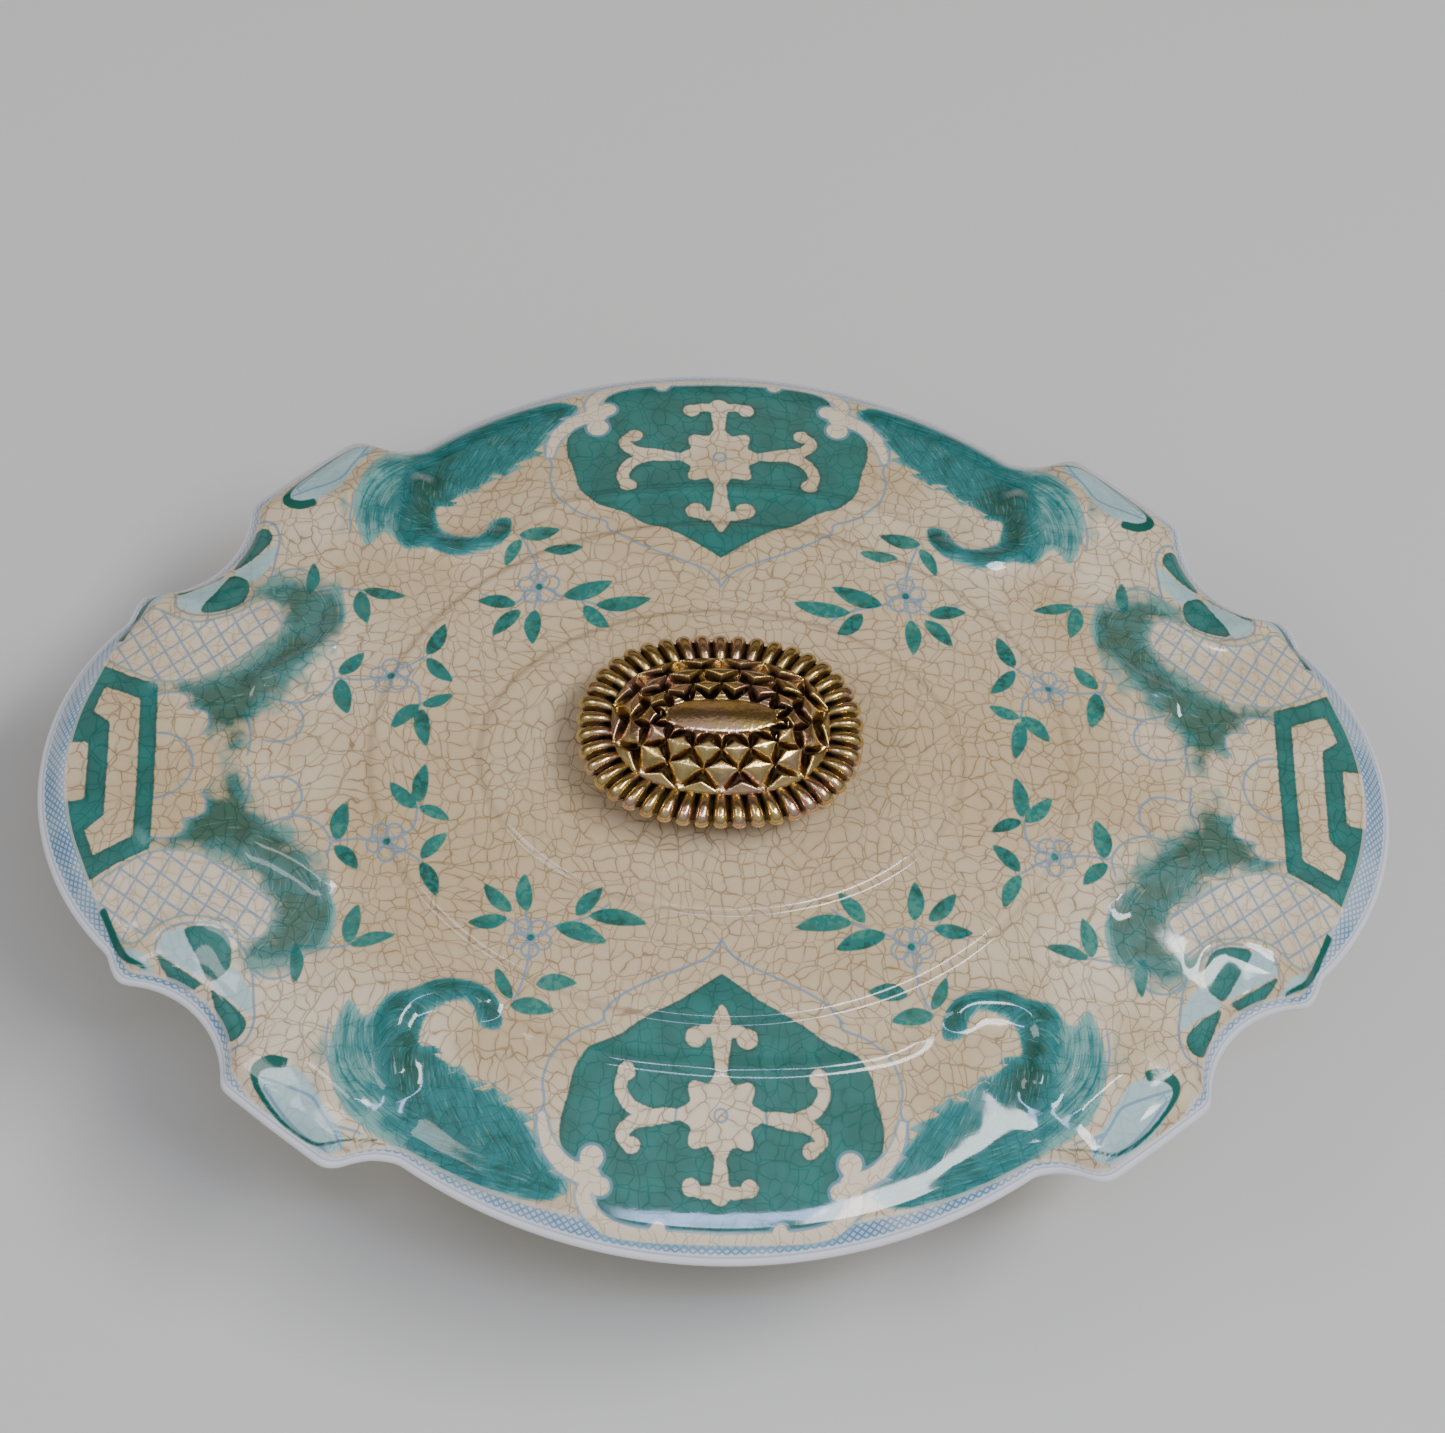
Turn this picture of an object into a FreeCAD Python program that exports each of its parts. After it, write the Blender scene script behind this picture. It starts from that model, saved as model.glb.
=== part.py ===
import FreeCAD, Part
import math
import os

# Covered porcelain serving bowl: a lobed oval bowl, its overhanging domed lid, and a cast brass knob
# that is bolted through the middle of the lid.
# Frame: millimetres, origin at the bottom centre of the foot, +X along the length, +Z up.

os.makedirs("parts", exist_ok=True)
V = FreeCAD.Vector

# driving dimensions
LENGTH = 300.0           # lid, tip to tip
WIDTH = 223.0            # lid, across the long sides
RIM_Z = 74.0             # plane where the lid rests on the bowl
BOWL_WALL = 4.8          # wall at the bowl's rim
BOWL_FLOOR_Z = 13.5      # inside floor of the bowl
FOOT_HEIGHT = 9.0
OVERHANG = 3.2           # how far the lid's edge stands out past the bowl
LIP_GAP = 1.6            # play between the lid's locating lip and the bowl
LIP_WALL = 3.6
LIP_DEPTH = 6.5
LID_WALL = 4.6
DOME_RISE = 21.0         # top of the lid's flat middle above the rim plane
HOLE_R = 3.6             # hole through the lid for the stud
STUD_R = 3.0
KNOB_LENGTH = 60.6
KNOB_WIDTH = 46.0
KNOB_RIBS = 42
CROWN_FACETS = 14
CROWN_TOP = 20.3         # top of the crown above the lid's flat middle

A = LENGTH / 2.0
B = WIDTH / 2.0
ELLIPSE = (0.985 * A, 0.982 * B)
TOP_Z = RIM_Z + DOME_RISE
UNDER_Z = TOP_Z - LID_WALL

# One quadrant of the lobed outline, from the end of the dish to the middle of its long side:
# corner points, with one point on the arc between each pair.
CORNERS = [(A - 19.0, 46.0), (A - 44.0, 72.4), (A - 64.6, 89.2), (A - 70.6, B - 21.4), (A - 81.5, B - 21.3)]
ARC_MIDS = [(A - 36.6, 54.6), (A - 53.9, 81.4), (A - 67.3, B - 20.9), (A - 76.0, B - 22.6)]
SIDE_TIP = (0.0, B)


def save(node, shape):
    """Write one piece as a single clean solid."""
    solid = shape.removeSplitter()
    if solid.ShapeType != "Solid":
        solid = solid.Solids[0]
    solid.exportStep("parts/" + node + ".step")
    print(node, "volume", round(solid.Volume), "valid", solid.isValid(), "solids", len(shape.Solids))
    return solid


def outline_points():
    """Closed list of (corner, point on the arc that follows it), anticlockwise."""
    corners = [(x, y) for x, y in CORNERS]
    first = [(c, m) for c, m in zip(corners, ARC_MIDS + [SIDE_TIP])]
    pairs = list(first)
    mirrored = [(-x, y) for x, y in reversed(corners)]
    mids = [(-x, y) for x, y in reversed(ARC_MIDS)] + [(-A, 0.0)]
    pairs += list(zip(mirrored, mids))
    pairs += [((-cx, -cy), (-mx, -my)) for (cx, cy), (mx, my) in pairs]
    return pairs


OUTLINE = outline_points()


def blend(point, lobes):
    """Move an outline point towards the plain ellipse; lobes = 1 keeps the full lobed shape."""
    x, y = point
    phi = math.atan2(y / B, x / A)
    ex, ey = ELLIPSE[0] * math.cos(phi), ELLIPSE[1] * math.sin(phi)
    return lobes * x + (1.0 - lobes) * ex, lobes * y + (1.0 - lobes) * ey


def section(z, size, lobes, inset=0.0):
    """Closed wire of the outline at height z, scaled by size and drawn in by inset mm."""
    kx = size - inset / A
    ky = size - inset / B
    edges = []
    for i, (corner, middle) in enumerate(OUTLINE):
        following = OUTLINE[(i + 1) % len(OUTLINE)][0]
        p, m, q = [blend(pt, lobes) for pt in (corner, middle, following)]
        arc = Part.Arc(V(kx * p[0], ky * p[1], z), V(kx * m[0], ky * m[1], z), V(kx * q[0], ky * q[1], z))
        edges.append(arc.toShape())
    return Part.Wire(edges)


def loft(levels, inset=0.0, ruled=False):
    """Solid through (z, size, lobes) levels."""
    return Part.makeLoft([section(z, s, l, inset) for z, s, l in levels], True, ruled)


# ---- bowl: lobed at the rim, easing to a plain oval foot
RIM_SIZE = 1.0 - OVERHANG / A
FOOT_SIZE = 0.44


def bowl_level(z, z_low):
    """(z, size, lobes) of a flared wall that rises from a flat oval at z_low to the lobed rim."""
    u = (z - z_low) / (RIM_Z - z_low)
    return z, FOOT_SIZE + (RIM_SIZE - FOOT_SIZE) * u ** 0.62, u


def bowl_levels(z_low):
    rise = RIM_Z - z_low
    return [bowl_level(z_low + rise * u, z_low) for u in (0.0, 0.02, 0.06, 0.14, 0.28, 0.48, 0.72, 1.0)]


bowl_outside = loft(bowl_levels(FOOT_HEIGHT))
bowl_inside = loft(bowl_levels(BOWL_FLOOR_Z), inset=BOWL_WALL)
foot_outside = loft([(FOOT_HEIGHT + 1.0, FOOT_SIZE + 0.005, 0.0), (3.0, FOOT_SIZE - 0.012, 0.0),
                     (0.0, FOOT_SIZE + 0.005, 0.0)])
foot_hollow = loft([(-1.0, FOOT_SIZE - 0.035, 0.0), (FOOT_HEIGHT - 1.0, FOOT_SIZE - 0.055, 0.0)])
bowl = bowl_outside.fuse(foot_outside).cut(bowl_inside).cut(foot_hollow)
save("bowl", bowl)

# ---- lid: thin rolled edge, steep band, wide shoulder, two stepped oval rings, flat middle
lid_levels = [(RIM_Z, 0.988, 1.0), (RIM_Z + 1.6, 1.0, 1.0), (RIM_Z + 3.2, 0.992, 1.0), (RIM_Z + 6.8, 0.968, 1.0)]
shoulder_levels = [(RIM_Z + 6.8, 0.968, 1.0), (RIM_Z + 9.0, 0.92, 0.9), (RIM_Z + 13.6, 0.75, 0.5),
                   (RIM_Z + 17.3, 0.56, 0.0)]
ring_two = [(RIM_Z + 17.3, 0.545, 0.0), (RIM_Z + 18.4, 0.53, 0.0)]
band = [(RIM_Z + 18.4, 0.53, 0.0), (RIM_Z + 19.4, 0.375, 0.0)]
ring_one = [(RIM_Z + 19.4, 0.375, 0.0), (RIM_Z + 20.5, 0.352, 0.0), (TOP_Z, 0.30, 0.0)]
lid_outside = loft(lid_levels, ruled=True).fuse(loft(shoulder_levels))
for levels in (ring_two, band, ring_one):
    lid_outside = lid_outside.fuse(loft(levels, ruled=True))

# the locating lip follows the flare of the bowl's wall, LIP_GAP inside it
lip_top = bowl_level(RIM_Z, BOWL_FLOOR_Z)
lip_end = bowl_level(RIM_Z - LIP_DEPTH, BOWL_FLOOR_Z)
lip = loft([(RIM_Z + 3.0,) + lip_top[1:], lip_top, lip_end], inset=BOWL_WALL + LIP_GAP, ruled=True)
lip_hollow = loft([(RIM_Z + 3.0,) + lip_top[1:], lip_top, lip_end, (RIM_Z - LIP_DEPTH - 1.0,) + lip_end[1:]],
                  inset=BOWL_WALL + LIP_GAP + LIP_WALL, ruled=True)
dome_hollow = loft([(RIM_Z + 2.0, RIM_SIZE, 1.0), (RIM_Z + 6.6, 0.93, 0.9), (RIM_Z + 9.8, 0.78, 0.5),
                    (RIM_Z + 13.0, 0.60, 0.0), (RIM_Z + 15.2, 0.40, 0.0), (UNDER_Z, 0.24, 0.0)],
                   inset=BOWL_WALL + LIP_GAP + LIP_WALL)


def dome_height(x, y):
    """Height of the lid's shoulder over a plan point, for seating the moulded scrolls."""
    t = math.hypot(x / ELLIPSE[0], y / ELLIPSE[1])
    return RIM_Z + 17.3 - 20.0 * max(0.0, t - 0.56)


def scroll(path, radii):
    """Moulded scroll: a tapering round ridge half sunk in the shoulder along a curved path."""
    points = [V(x, y, dome_height(x, y) - 0.9) for x, y in path]
    curve = Part.BSplineCurve()
    curve.interpolate(points)
    spine = Part.Wire(curve.toShape())
    rings = []
    for where, radius in zip((curve.FirstParameter, curve.LastParameter), radii):
        ring = Part.Circle(curve.value(where), curve.tangent(where)[0], radius)
        rings.append(Part.Wire(ring.toShape()))
    body = spine.makePipeShell(rings, True, True)
    caps = [Part.makeSphere(r, curve.value(w))
            for w, r in zip((curve.FirstParameter, curve.LastParameter), radii)]
    return body.fuse(caps)


# scrolls of one quadrant, as plan paths: one curls beside the long-side panel, one beside the end panel
SIDE_SCROLL = [(49.0, 62.0), (53.0, 56.5), (62.0, 54.0), (70.5, 57.5), (72.0, 67.0)]
END_SCROLL = [(106.0, 13.5), (101.0, 19.5), (92.0, 25.5), (86.5, 32.5), (88.0, 41.5)]

lid = lid_outside.fuse(lip).cut(lip_hollow).cut(dome_hollow)
for sx in (1, -1):
    for sy in (1, -1):
        for path in (SIDE_SCROLL, END_SCROLL):
            lid = lid.fuse(scroll([(sx * x, sy * y) for x, y in path], (1.7, 3.0)))
lid = lid.cut(Part.makeCylinder(HOLE_R, 40.0, V(0, 0, RIM_Z)))
save("lid", lid)

# ---- knob fixings, from the top down: collar on a soft pad above the lid; pad, washer and nut below it
PAD = 1.2
COLLAR_H = 2.6


def ring(outer, inner, height, z):
    return Part.makeCylinder(outer, height, V(0, 0, z)).cut(Part.makeCylinder(inner, height, V(0, 0, z)))


save("pad_upper", ring(12.0, HOLE_R, PAD, TOP_Z))
collar = ring(13.0, STUD_R + 0.3, COLLAR_H, TOP_Z + PAD)
collar = collar.makeFillet(1.0, [e for e in collar.Edges if abs(e.BoundBox.ZMax - TOP_Z - PAD - COLLAR_H) < 1e-6
                                 and e.BoundBox.XLength > 20.0 and e.BoundBox.ZLength < 1e-6])
save("collar", collar)
save("pad_lower", ring(11.0, HOLE_R, PAD, UNDER_Z - PAD))
save("washer", ring(9.0, STUD_R + 0.3, 1.2, UNDER_Z - PAD - 1.2))
NUT_H = 5.0
nut_z = UNDER_Z - PAD - 1.2 - NUT_H
hexagon = Part.makePolygon([V(5.8 * math.cos(math.radians(60 * i)), 5.8 * math.sin(math.radians(60 * i)), nut_z)
                            for i in range(7)])
nut = Part.Face(hexagon).extrude(V(0, 0, NUT_H)).cut(Part.makeCylinder(STUD_R, NUT_H, V(0, 0, nut_z)))
save("nut", nut)

# ---- knob: slender neck, gadrooned oval ring, faceted oval crown, one brass casting
KNOB_Z = TOP_Z + PAD + COLLAR_H
RING_MID = TOP_Z + 12.2
KA = KNOB_LENGTH / 2.0
KB = KNOB_WIDTH / 2.0


def gadroon_section(z, size, bulge):
    """Oval wire of KNOB_RIBS outward arcs: each arc is the end of one rounded radial rib."""
    edges = []
    for i in range(KNOB_RIBS):
        angles = [2.0 * math.pi * (i + k / 2.0) / KNOB_RIBS for k in range(3)]
        reach = (1.0 - bulge, 1.0, 1.0 - bulge)
        pts = [V(size * r * KA * math.cos(a), size * r * KB * math.sin(a), z) for a, r in zip(angles, reach)]
        edges.append(Part.Arc(*pts).toShape())
    return Part.Wire(edges)


gadroon = Part.makeLoft([gadroon_section(RING_MID - 2.6, 0.90, 0.035), gadroon_section(RING_MID - 1.6, 0.975, 0.045),
                         gadroon_section(RING_MID, 1.0, 0.05), gadroon_section(RING_MID + 1.6, 0.965, 0.045),
                         gadroon_section(RING_MID + 2.6, 0.86, 0.035)], True, True)


def oval_ring_points(z, half_x, half_y, shift):
    count = CROWN_FACETS
    return [V(half_x * math.cos(2 * math.pi * (i + shift) / count),
              half_y * math.sin(2 * math.pi * (i + shift) / count), z) for i in range(count)]


def crown_solid():
    """Dome of staggered rows of points, so that pairs of triangles read as diamond facets."""
    base = RING_MID + 1.0
    top = TOP_Z + CROWN_TOP
    rows = [oval_ring_points(base, 24.0, 16.5, 0.0), oval_ring_points(base + 3.2, 24.2, 16.7, 0.5),
            oval_ring_points(top - 2.6, 21.2, 14.0, 0.0), oval_ring_points(top - 1.0, 17.2, 10.2, 0.5),
            oval_ring_points(top, 12.6, 6.2, 0.0)]
    faces = []
    for r in range(len(rows) - 1):
        low, high = rows[r], rows[r + 1]
        lead = 1 if r % 2 == 0 else 0
        for i in range(CROWN_FACETS):
            j = (i + 1) % CROWN_FACETS
            if lead:
                triangles = [(low[i], low[j], high[i]), (low[j], high[j], high[i])]
            else:
                triangles = [(low[i], low[j], high[j]), (low[i], high[j], high[i])]
            faces += [Part.Face(Part.makePolygon([a, b, c, a])) for a, b, c in triangles]
    for loop in (rows[0], rows[-1]):
        faces.append(Part.Face(Part.makePolygon(loop + [loop[0]])))
    return Part.Solid(Part.makeShell(faces))


neck_line = [V(0, 0, KNOB_Z), V(8.0, 0, KNOB_Z), V(6.2, 0, KNOB_Z + 2.6), V(7.2, 0, RING_MID - 4.2),
             V(12.0, 0, RING_MID - 2.4), V(12.0, 0, RING_MID), V(0, 0, RING_MID)]
neck = Part.Face(Part.makePolygon(neck_line + [neck_line[0]])).revolve(V(0, 0, 0), V(0, 0, 1), 360)
knob = gadroon.fuse(neck).fuse(crown_solid())
stud_top = RING_MID + 1.0
knob = knob.cut(Part.makeCylinder(STUD_R, stud_top - KNOB_Z, V(0, 0, KNOB_Z)))
save("knob", knob)

stud_bottom = nut_z - 1.5
save("stud", Part.makeCylinder(STUD_R, stud_top - stud_bottom, V(0, 0, stud_bottom)))
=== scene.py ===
"""Looks of a covered porcelain serving bowl: crackle-glazed, hand-painted lid and bowl, antique brass knob."""
import math

import bpy
import numpy as np
from mathutils import Matrix, Vector


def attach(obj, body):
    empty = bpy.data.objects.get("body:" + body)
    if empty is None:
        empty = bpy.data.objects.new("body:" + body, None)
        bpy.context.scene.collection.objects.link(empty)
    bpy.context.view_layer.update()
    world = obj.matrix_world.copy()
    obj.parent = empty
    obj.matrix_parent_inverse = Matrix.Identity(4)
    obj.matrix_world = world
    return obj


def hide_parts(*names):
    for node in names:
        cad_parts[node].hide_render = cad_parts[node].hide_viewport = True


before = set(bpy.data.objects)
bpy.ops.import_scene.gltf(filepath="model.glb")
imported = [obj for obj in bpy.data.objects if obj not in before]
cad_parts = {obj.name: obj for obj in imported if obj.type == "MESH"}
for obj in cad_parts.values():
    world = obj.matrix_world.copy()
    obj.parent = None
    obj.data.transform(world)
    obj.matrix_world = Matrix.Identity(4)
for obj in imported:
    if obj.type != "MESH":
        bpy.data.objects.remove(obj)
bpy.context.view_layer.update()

MM = 0.001
FAR = 6.0                 # largest distance from a painted edge that is kept, in mm

# ---------------------------------------------------------------- dimensions of the dish, in mm
A, B = 150.0, 111.5       # half length and half width over the lid's edge
ELLIPSE = (0.985 * A, 0.982 * B)
RIM_Z = 74.0
TOP_RISE, UNDER_RISE = 21.0, 16.4     # top and underside of the lid's middle, above the rim
BAND = 5.5                # plan width of the steep wall inside the lid's edge
HOLE_R = 3.6              # hole for the knob's stud
WALL, FLOOR_Z = 4.8, 13.5     # the bowl's wall, and the height of its floor inside
FOOT_SIZE, RIM_SIZE = 0.44, 1 - 3.2 / A     # the bowl's outline at its foot and rim, as a share of the lid's
FLARE = 0.62              # how the bowl widens upwards: 1 is a straight side, less is a fuller belly
LIP_GAP, LIP_WALL, LIP_DEPTH = 1.6, 3.6, 6.5     # the lid's lip: its play in the bowl, thickness and depth
RING_ONE = (52.5, 37.5)   # half axes of the inner stepped oval
RING_TWO = (76.5, 62.0)   # half axes of the outer stepped oval
COLUMNS = 1024            # points round each row of the porcelain meshes


# ---------------------------------------------------------------- plane curves
def arc(centre, radius, start, end, count=60):
    """Points of a circular arc. Angles are in degrees."""
    angles = np.radians(np.linspace(start, end, count))
    return [(centre[0] + radius * math.cos(a), centre[1] + radius * math.sin(a)) for a in angles]


def curve(points, closed=False, per=6):
    """Smooth line through the points (Catmull-Rom)."""
    p = np.array(points, float)
    n = len(p)
    out = []
    for i in range(n if closed else n - 1):
        if closed:
            p0, p1, p2, p3 = p[i - 1], p[i], p[(i + 1) % n], p[(i + 2) % n]
        else:
            p0, p1, p2, p3 = p[max(i - 1, 0)], p[i], p[i + 1], p[min(i + 2, n - 1)]
        for t in np.arange(per) / per:
            out.append(0.5 * (2 * p1 + (p2 - p0) * t + (2 * p0 - 5 * p1 + 4 * p2 - p3) * t * t + (3 * p1 - p0 - 3
                * p2 + p3) * t ** 3))
    if not closed:
        out.append(p[-1])
    return np.array(out)


def mirrored(points, axis):
    """Half a symmetric shape, followed by its mirror image across x = 0 (axis 0) or y = 0 (axis 1)."""
    p = np.array(points, float)
    q = p[::-1].copy()
    q[:, axis] *= -1
    return np.vstack([p, q])


def circle(centre, radius, count=20):
    return np.array(arc(centre, radius, 0, 360 * (1 - 1 / count), count))


def leaf(base, tip, width, bend=0.0):
    """Outline of a small pointed leaf from base to tip."""
    b, t = np.array(base, float), np.array(tip, float)
    along = t - b
    length = np.hypot(*along)
    across = np.array([-along[1], along[0]]) / length
    u = np.linspace(0, 1, 13)
    half = width / 2 * np.sin(np.pi * u ** 0.85) ** 0.8
    middle = b + u[:, None] * along + (bend * length * np.sin(np.pi * u))[:, None] * across
    return np.vstack([middle + half[:, None] * across, (middle - half[:, None] * across)[-2:0:-1]])


def stroke(path, widths):
    """Outline of a brush stroke whose width goes evenly through the given widths."""
    p = curve(path)
    d = np.gradient(p, axis=0)
    d /= np.maximum(np.hypot(d[:, 0], d[:, 1]), 1e-9)[:, None]
    w = np.interp(np.linspace(0, 1, len(p)), np.linspace(0, 1, len(widths)), widths)[:, None] / 2
    across = np.stack([-d[:, 1], d[:, 0]], 1)
    return np.vstack([p + w * across, (p - w * across)[::-1]])


def steady(x, xs, ys):
    """Smooth interpolation that keeps the data's rise and fall (monotone cubic)."""
    x, xs, ys = np.asarray(x, float), np.array(xs, float), np.array(ys, float)
    h, slope = np.diff(xs), np.diff(ys) / np.diff(xs)
    m = np.zeros(len(xs))
    m[0], m[-1] = slope[0], slope[-1]
    for k in range(1, len(xs) - 1):
        if slope[k - 1] * slope[k] > 0:
            m[k] = 2 * slope[k - 1] * slope[k] / (slope[k - 1] + slope[k])
    i = np.clip(np.searchsorted(xs, x) - 1, 0, len(h) - 1)
    t = np.clip((x - xs[i]) / h[i], 0, 1)
    return (ys[i] * (1 + 2 * t) * (1 - t) ** 2 + m[i] * h[i] * t * (1 - t) ** 2 + ys[i + 1] * t * t * (3 - 2 * t)
        - m[i + 1] * h[i] * t * t * (1 - t))


def smooth(x, low, high):
    t = np.clip((x - low) / (high - low), 0, 1)
    return t * t * (3 - 2 * t)


# ---------------------------------------------------------------- lobed edge shared by lid and bowl
def lobed_edge(count):
    """count points evenly spaced round the lobed edge, starting at the +X end."""
    quarter = arc((92.0, 0.0), 58.0, 0.0, 45.7)
    quarter += [(131.8, 44.0), (130.8, 46.6), (129.5, 48.2)]
    quarter += arc((129.0, 71.0), 22.4, 266.0, 178.0)
    quarter += [(106.0, 73.2), (105.0, 74.2), (96.2, 81.4), (86.4, 89.0), (84.8, 90.2), (82.8, 90.8), (80.4, 90.5),
        (77.4, 89.4), (74.0, 88.7), (71.0, 88.9)]
    quarter += arc((0.0, -4.8), 116.3, 54.2, 90.0)
    q = np.array(quarter)
    half = np.vstack([q, (q * [-1, 1])[::-1][1:]])
    whole = np.vstack([half, (half * [1, -1])[::-1][1:]])
    steps = np.hypot(*np.diff(whole, axis=0).T)
    keep = np.concatenate([[True], steps > 1e-9])
    whole = whole[keep]
    s = np.concatenate([[0], np.cumsum(np.hypot(*np.diff(whole, axis=0).T))])
    samples = 8192
    fine = np.linspace(0, s[-1], samples, endpoint=False)
    x, y = np.interp(fine, s, whole[:, 0]), np.interp(fine, s, whole[:, 1])
    soft_radius = 0.75     # rounds off the corners between the arcs
    soften = np.exp(-2 * (np.pi * np.fft.fftfreq(samples, s[-1] / samples) * soft_radius) ** 2)
    x, y = (np.fft.ifft(np.fft.fft(c) * soften).real for c in (x, y))
    pick = np.arange(count) * samples // count
    return np.stack([x[pick], y[pick]], 1), fine[pick], s[-1]


EDGE, EDGE_S, PERIMETER = lobed_edge(COLUMNS)
PHI = np.arctan2(EDGE[:, 1] / B, EDGE[:, 0] / A)
PLAIN = np.stack([ELLIPSE[0] * np.cos(PHI), ELLIPSE[1] * np.sin(PHI)], 1)
QUARTER = PERIMETER / 4
FOLDED_S = QUARTER - np.abs(QUARTER - np.mod(EDGE_S, 2 * QUARTER))
# width of the painted border, from the end of the dish (0) along the edge to the middle of its long side
BORDER = steady(FOLDED_S, [0, 22, 33, 47, 60, 84, 92, 100, 117, 130, 142, 154, 165, 180, 207], [6.2, 6.2, 5.2, 2.7,
    2.7, 3.0, 3.0, 1.3, 1.7, 2.0, 2.5, 3.0, 3.7, 4.4, 4.6])


def lobes_at(size):
    """How lobed the lid's outline is, from its middle (size 0) to its edge (size 1)."""
    return steady(size, [0, 0.56, 0.75, 0.92, 0.96, 1.0], [0, 0, 0.5, 0.9, 1.0, 1.0])


def section(size, lobes, inset=0.0):
    """Plan outline at a level: size 1 and lobes 1 is the lid's edge, lobes 0 a plain oval."""
    mixed = lobes * EDGE + (1 - lobes) * PLAIN
    return mixed * [size - inset / A, size - inset / B]


def level(z, size, lobes, inset=0.0):
    flat = section(size, lobes, inset)
    return np.column_stack([flat, np.full(len(flat), z)])


def round_row(z, radius):
    return np.column_stack([radius * np.cos(PHI), radius * np.sin(PHI), np.full(len(PHI), z)])


def between(levels, counts):
    """Rows between successive (z, size, lobes, inset) levels, without the last."""
    rows = []
    for (a, b), n in zip(zip(levels[:-1], levels[1:]), counts):
        for t in np.arange(n) / n:
            rows.append(level(*[p + (q - p) * t for p, q in zip(a, b)]))
    return rows


# ---------------------------------------------------------------- meshes
def link(name, data):
    piece = bpy.data.objects.new(name, data)
    bpy.context.scene.collection.objects.link(piece)
    return piece


def make_mesh(name, rows, channels=None, ends="joined"):
    """Closed mesh from rows of points in mm. ends: "joined" links the last row to the first, "capped" closes each
    end with one point. channels are values at the points, kept as mesh attributes."""
    rows = np.asarray(rows)
    count, columns = rows.shape[:2]
    verts = rows.reshape(-1, 3)
    index = np.arange(count * columns).reshape(count, columns)
    low = index if ends == "joined" else index[:-1]
    high = np.roll(index, -1, 0) if ends == "joined" else index[1:]
    quads = np.stack([low, np.roll(low, -1, 1), np.roll(high, -1, 1), high], -1).reshape(-1, 4)[:, ::-1]
    triangles = np.zeros((0, 3), int)
    if ends == "capped":
        first, last = index[0], index[-1]
        top = np.full(columns, len(verts))
        verts = np.vstack([verts, rows[0].mean(0), rows[-1].mean(0)])
        triangles = np.vstack([np.stack([top, first, np.roll(first, -1)], 1), np.stack([top + 1, np.roll(last, -1),
            last], 1)])
    mesh = bpy.data.meshes.new(name)
    mesh.vertices.add(len(verts))
    mesh.vertices.foreach_set("co", (verts * MM).astype(np.float32).ravel())
    loops = np.concatenate([quads.ravel(), triangles.ravel()])
    totals = np.concatenate([np.full(len(quads), 4), np.full(len(triangles), 3)])
    mesh.loops.add(len(loops))
    mesh.loops.foreach_set("vertex_index", loops.astype(np.int32))
    mesh.polygons.add(len(totals))
    mesh.polygons.foreach_set("loop_start", np.concatenate([[0], np.cumsum(totals)[:-1]]).astype(np.int32))
    mesh.polygons.foreach_set("loop_total", totals.astype(np.int32))
    mesh.update(calc_edges=True)
    mesh.validate()
    mesh.polygons.foreach_set("use_smooth", np.ones(len(mesh.polygons), bool))
    for key, values in (channels or {}).items():
        flat = np.concatenate([np.asarray(values, float).ravel(), np.zeros(len(verts) - count * columns)])
        if ends == "capped":
            flat[-2:] = np.asarray(values)[0].mean(), np.asarray(values)[-1].mean()
        mesh.attributes.new(key, "FLOAT", "POINT").data.foreach_set("value", flat.astype(np.float32))
    return link(name, mesh)


# ---------------------------------------------------------------- painting on one quadrant, mirrored to all four
def to_line(px, py, line, closed=False):
    """Distance from each point to a line, the side it lies on, and how far along the line its foot is."""
    best = np.full(px.shape, 1e9)
    side, along = np.ones(px.shape), np.zeros(px.shape)
    ends = np.roll(line, -1, 0) if closed else line[1:]
    start = 0.0
    for (ax, ay), (bx, by) in zip(line, ends):
        dx, dy = bx - ax, by - ay
        length = math.hypot(dx, dy)
        if length < 1e-9:
            continue
        t = np.clip(((px - ax) * dx + (py - ay) * dy) / length ** 2, 0, 1)
        ex, ey = px - ax - t * dx, py - ay - t * dy
        d = ex * ex + ey * ey
        closer = d < best
        best[closer] = d[closer]
        side[closer] = np.sign(dx * ey - dy * ex)[closer]
        along[closer] = (start + t * length)[closer]
        start += length
    return np.sqrt(best), np.where(side == 0, 1, side), along


def is_inside(px, py, line):
    inside = np.zeros(px.shape, bool)
    for (ax, ay), (bx, by) in zip(line, np.roll(line, -1, 0)):
        if ay == by:
            continue
        inside ^= ((ay > py) != (by > py)) & (px < (bx - ax) * (py - ay) / (by - ay) + ax)
    return inside


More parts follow.
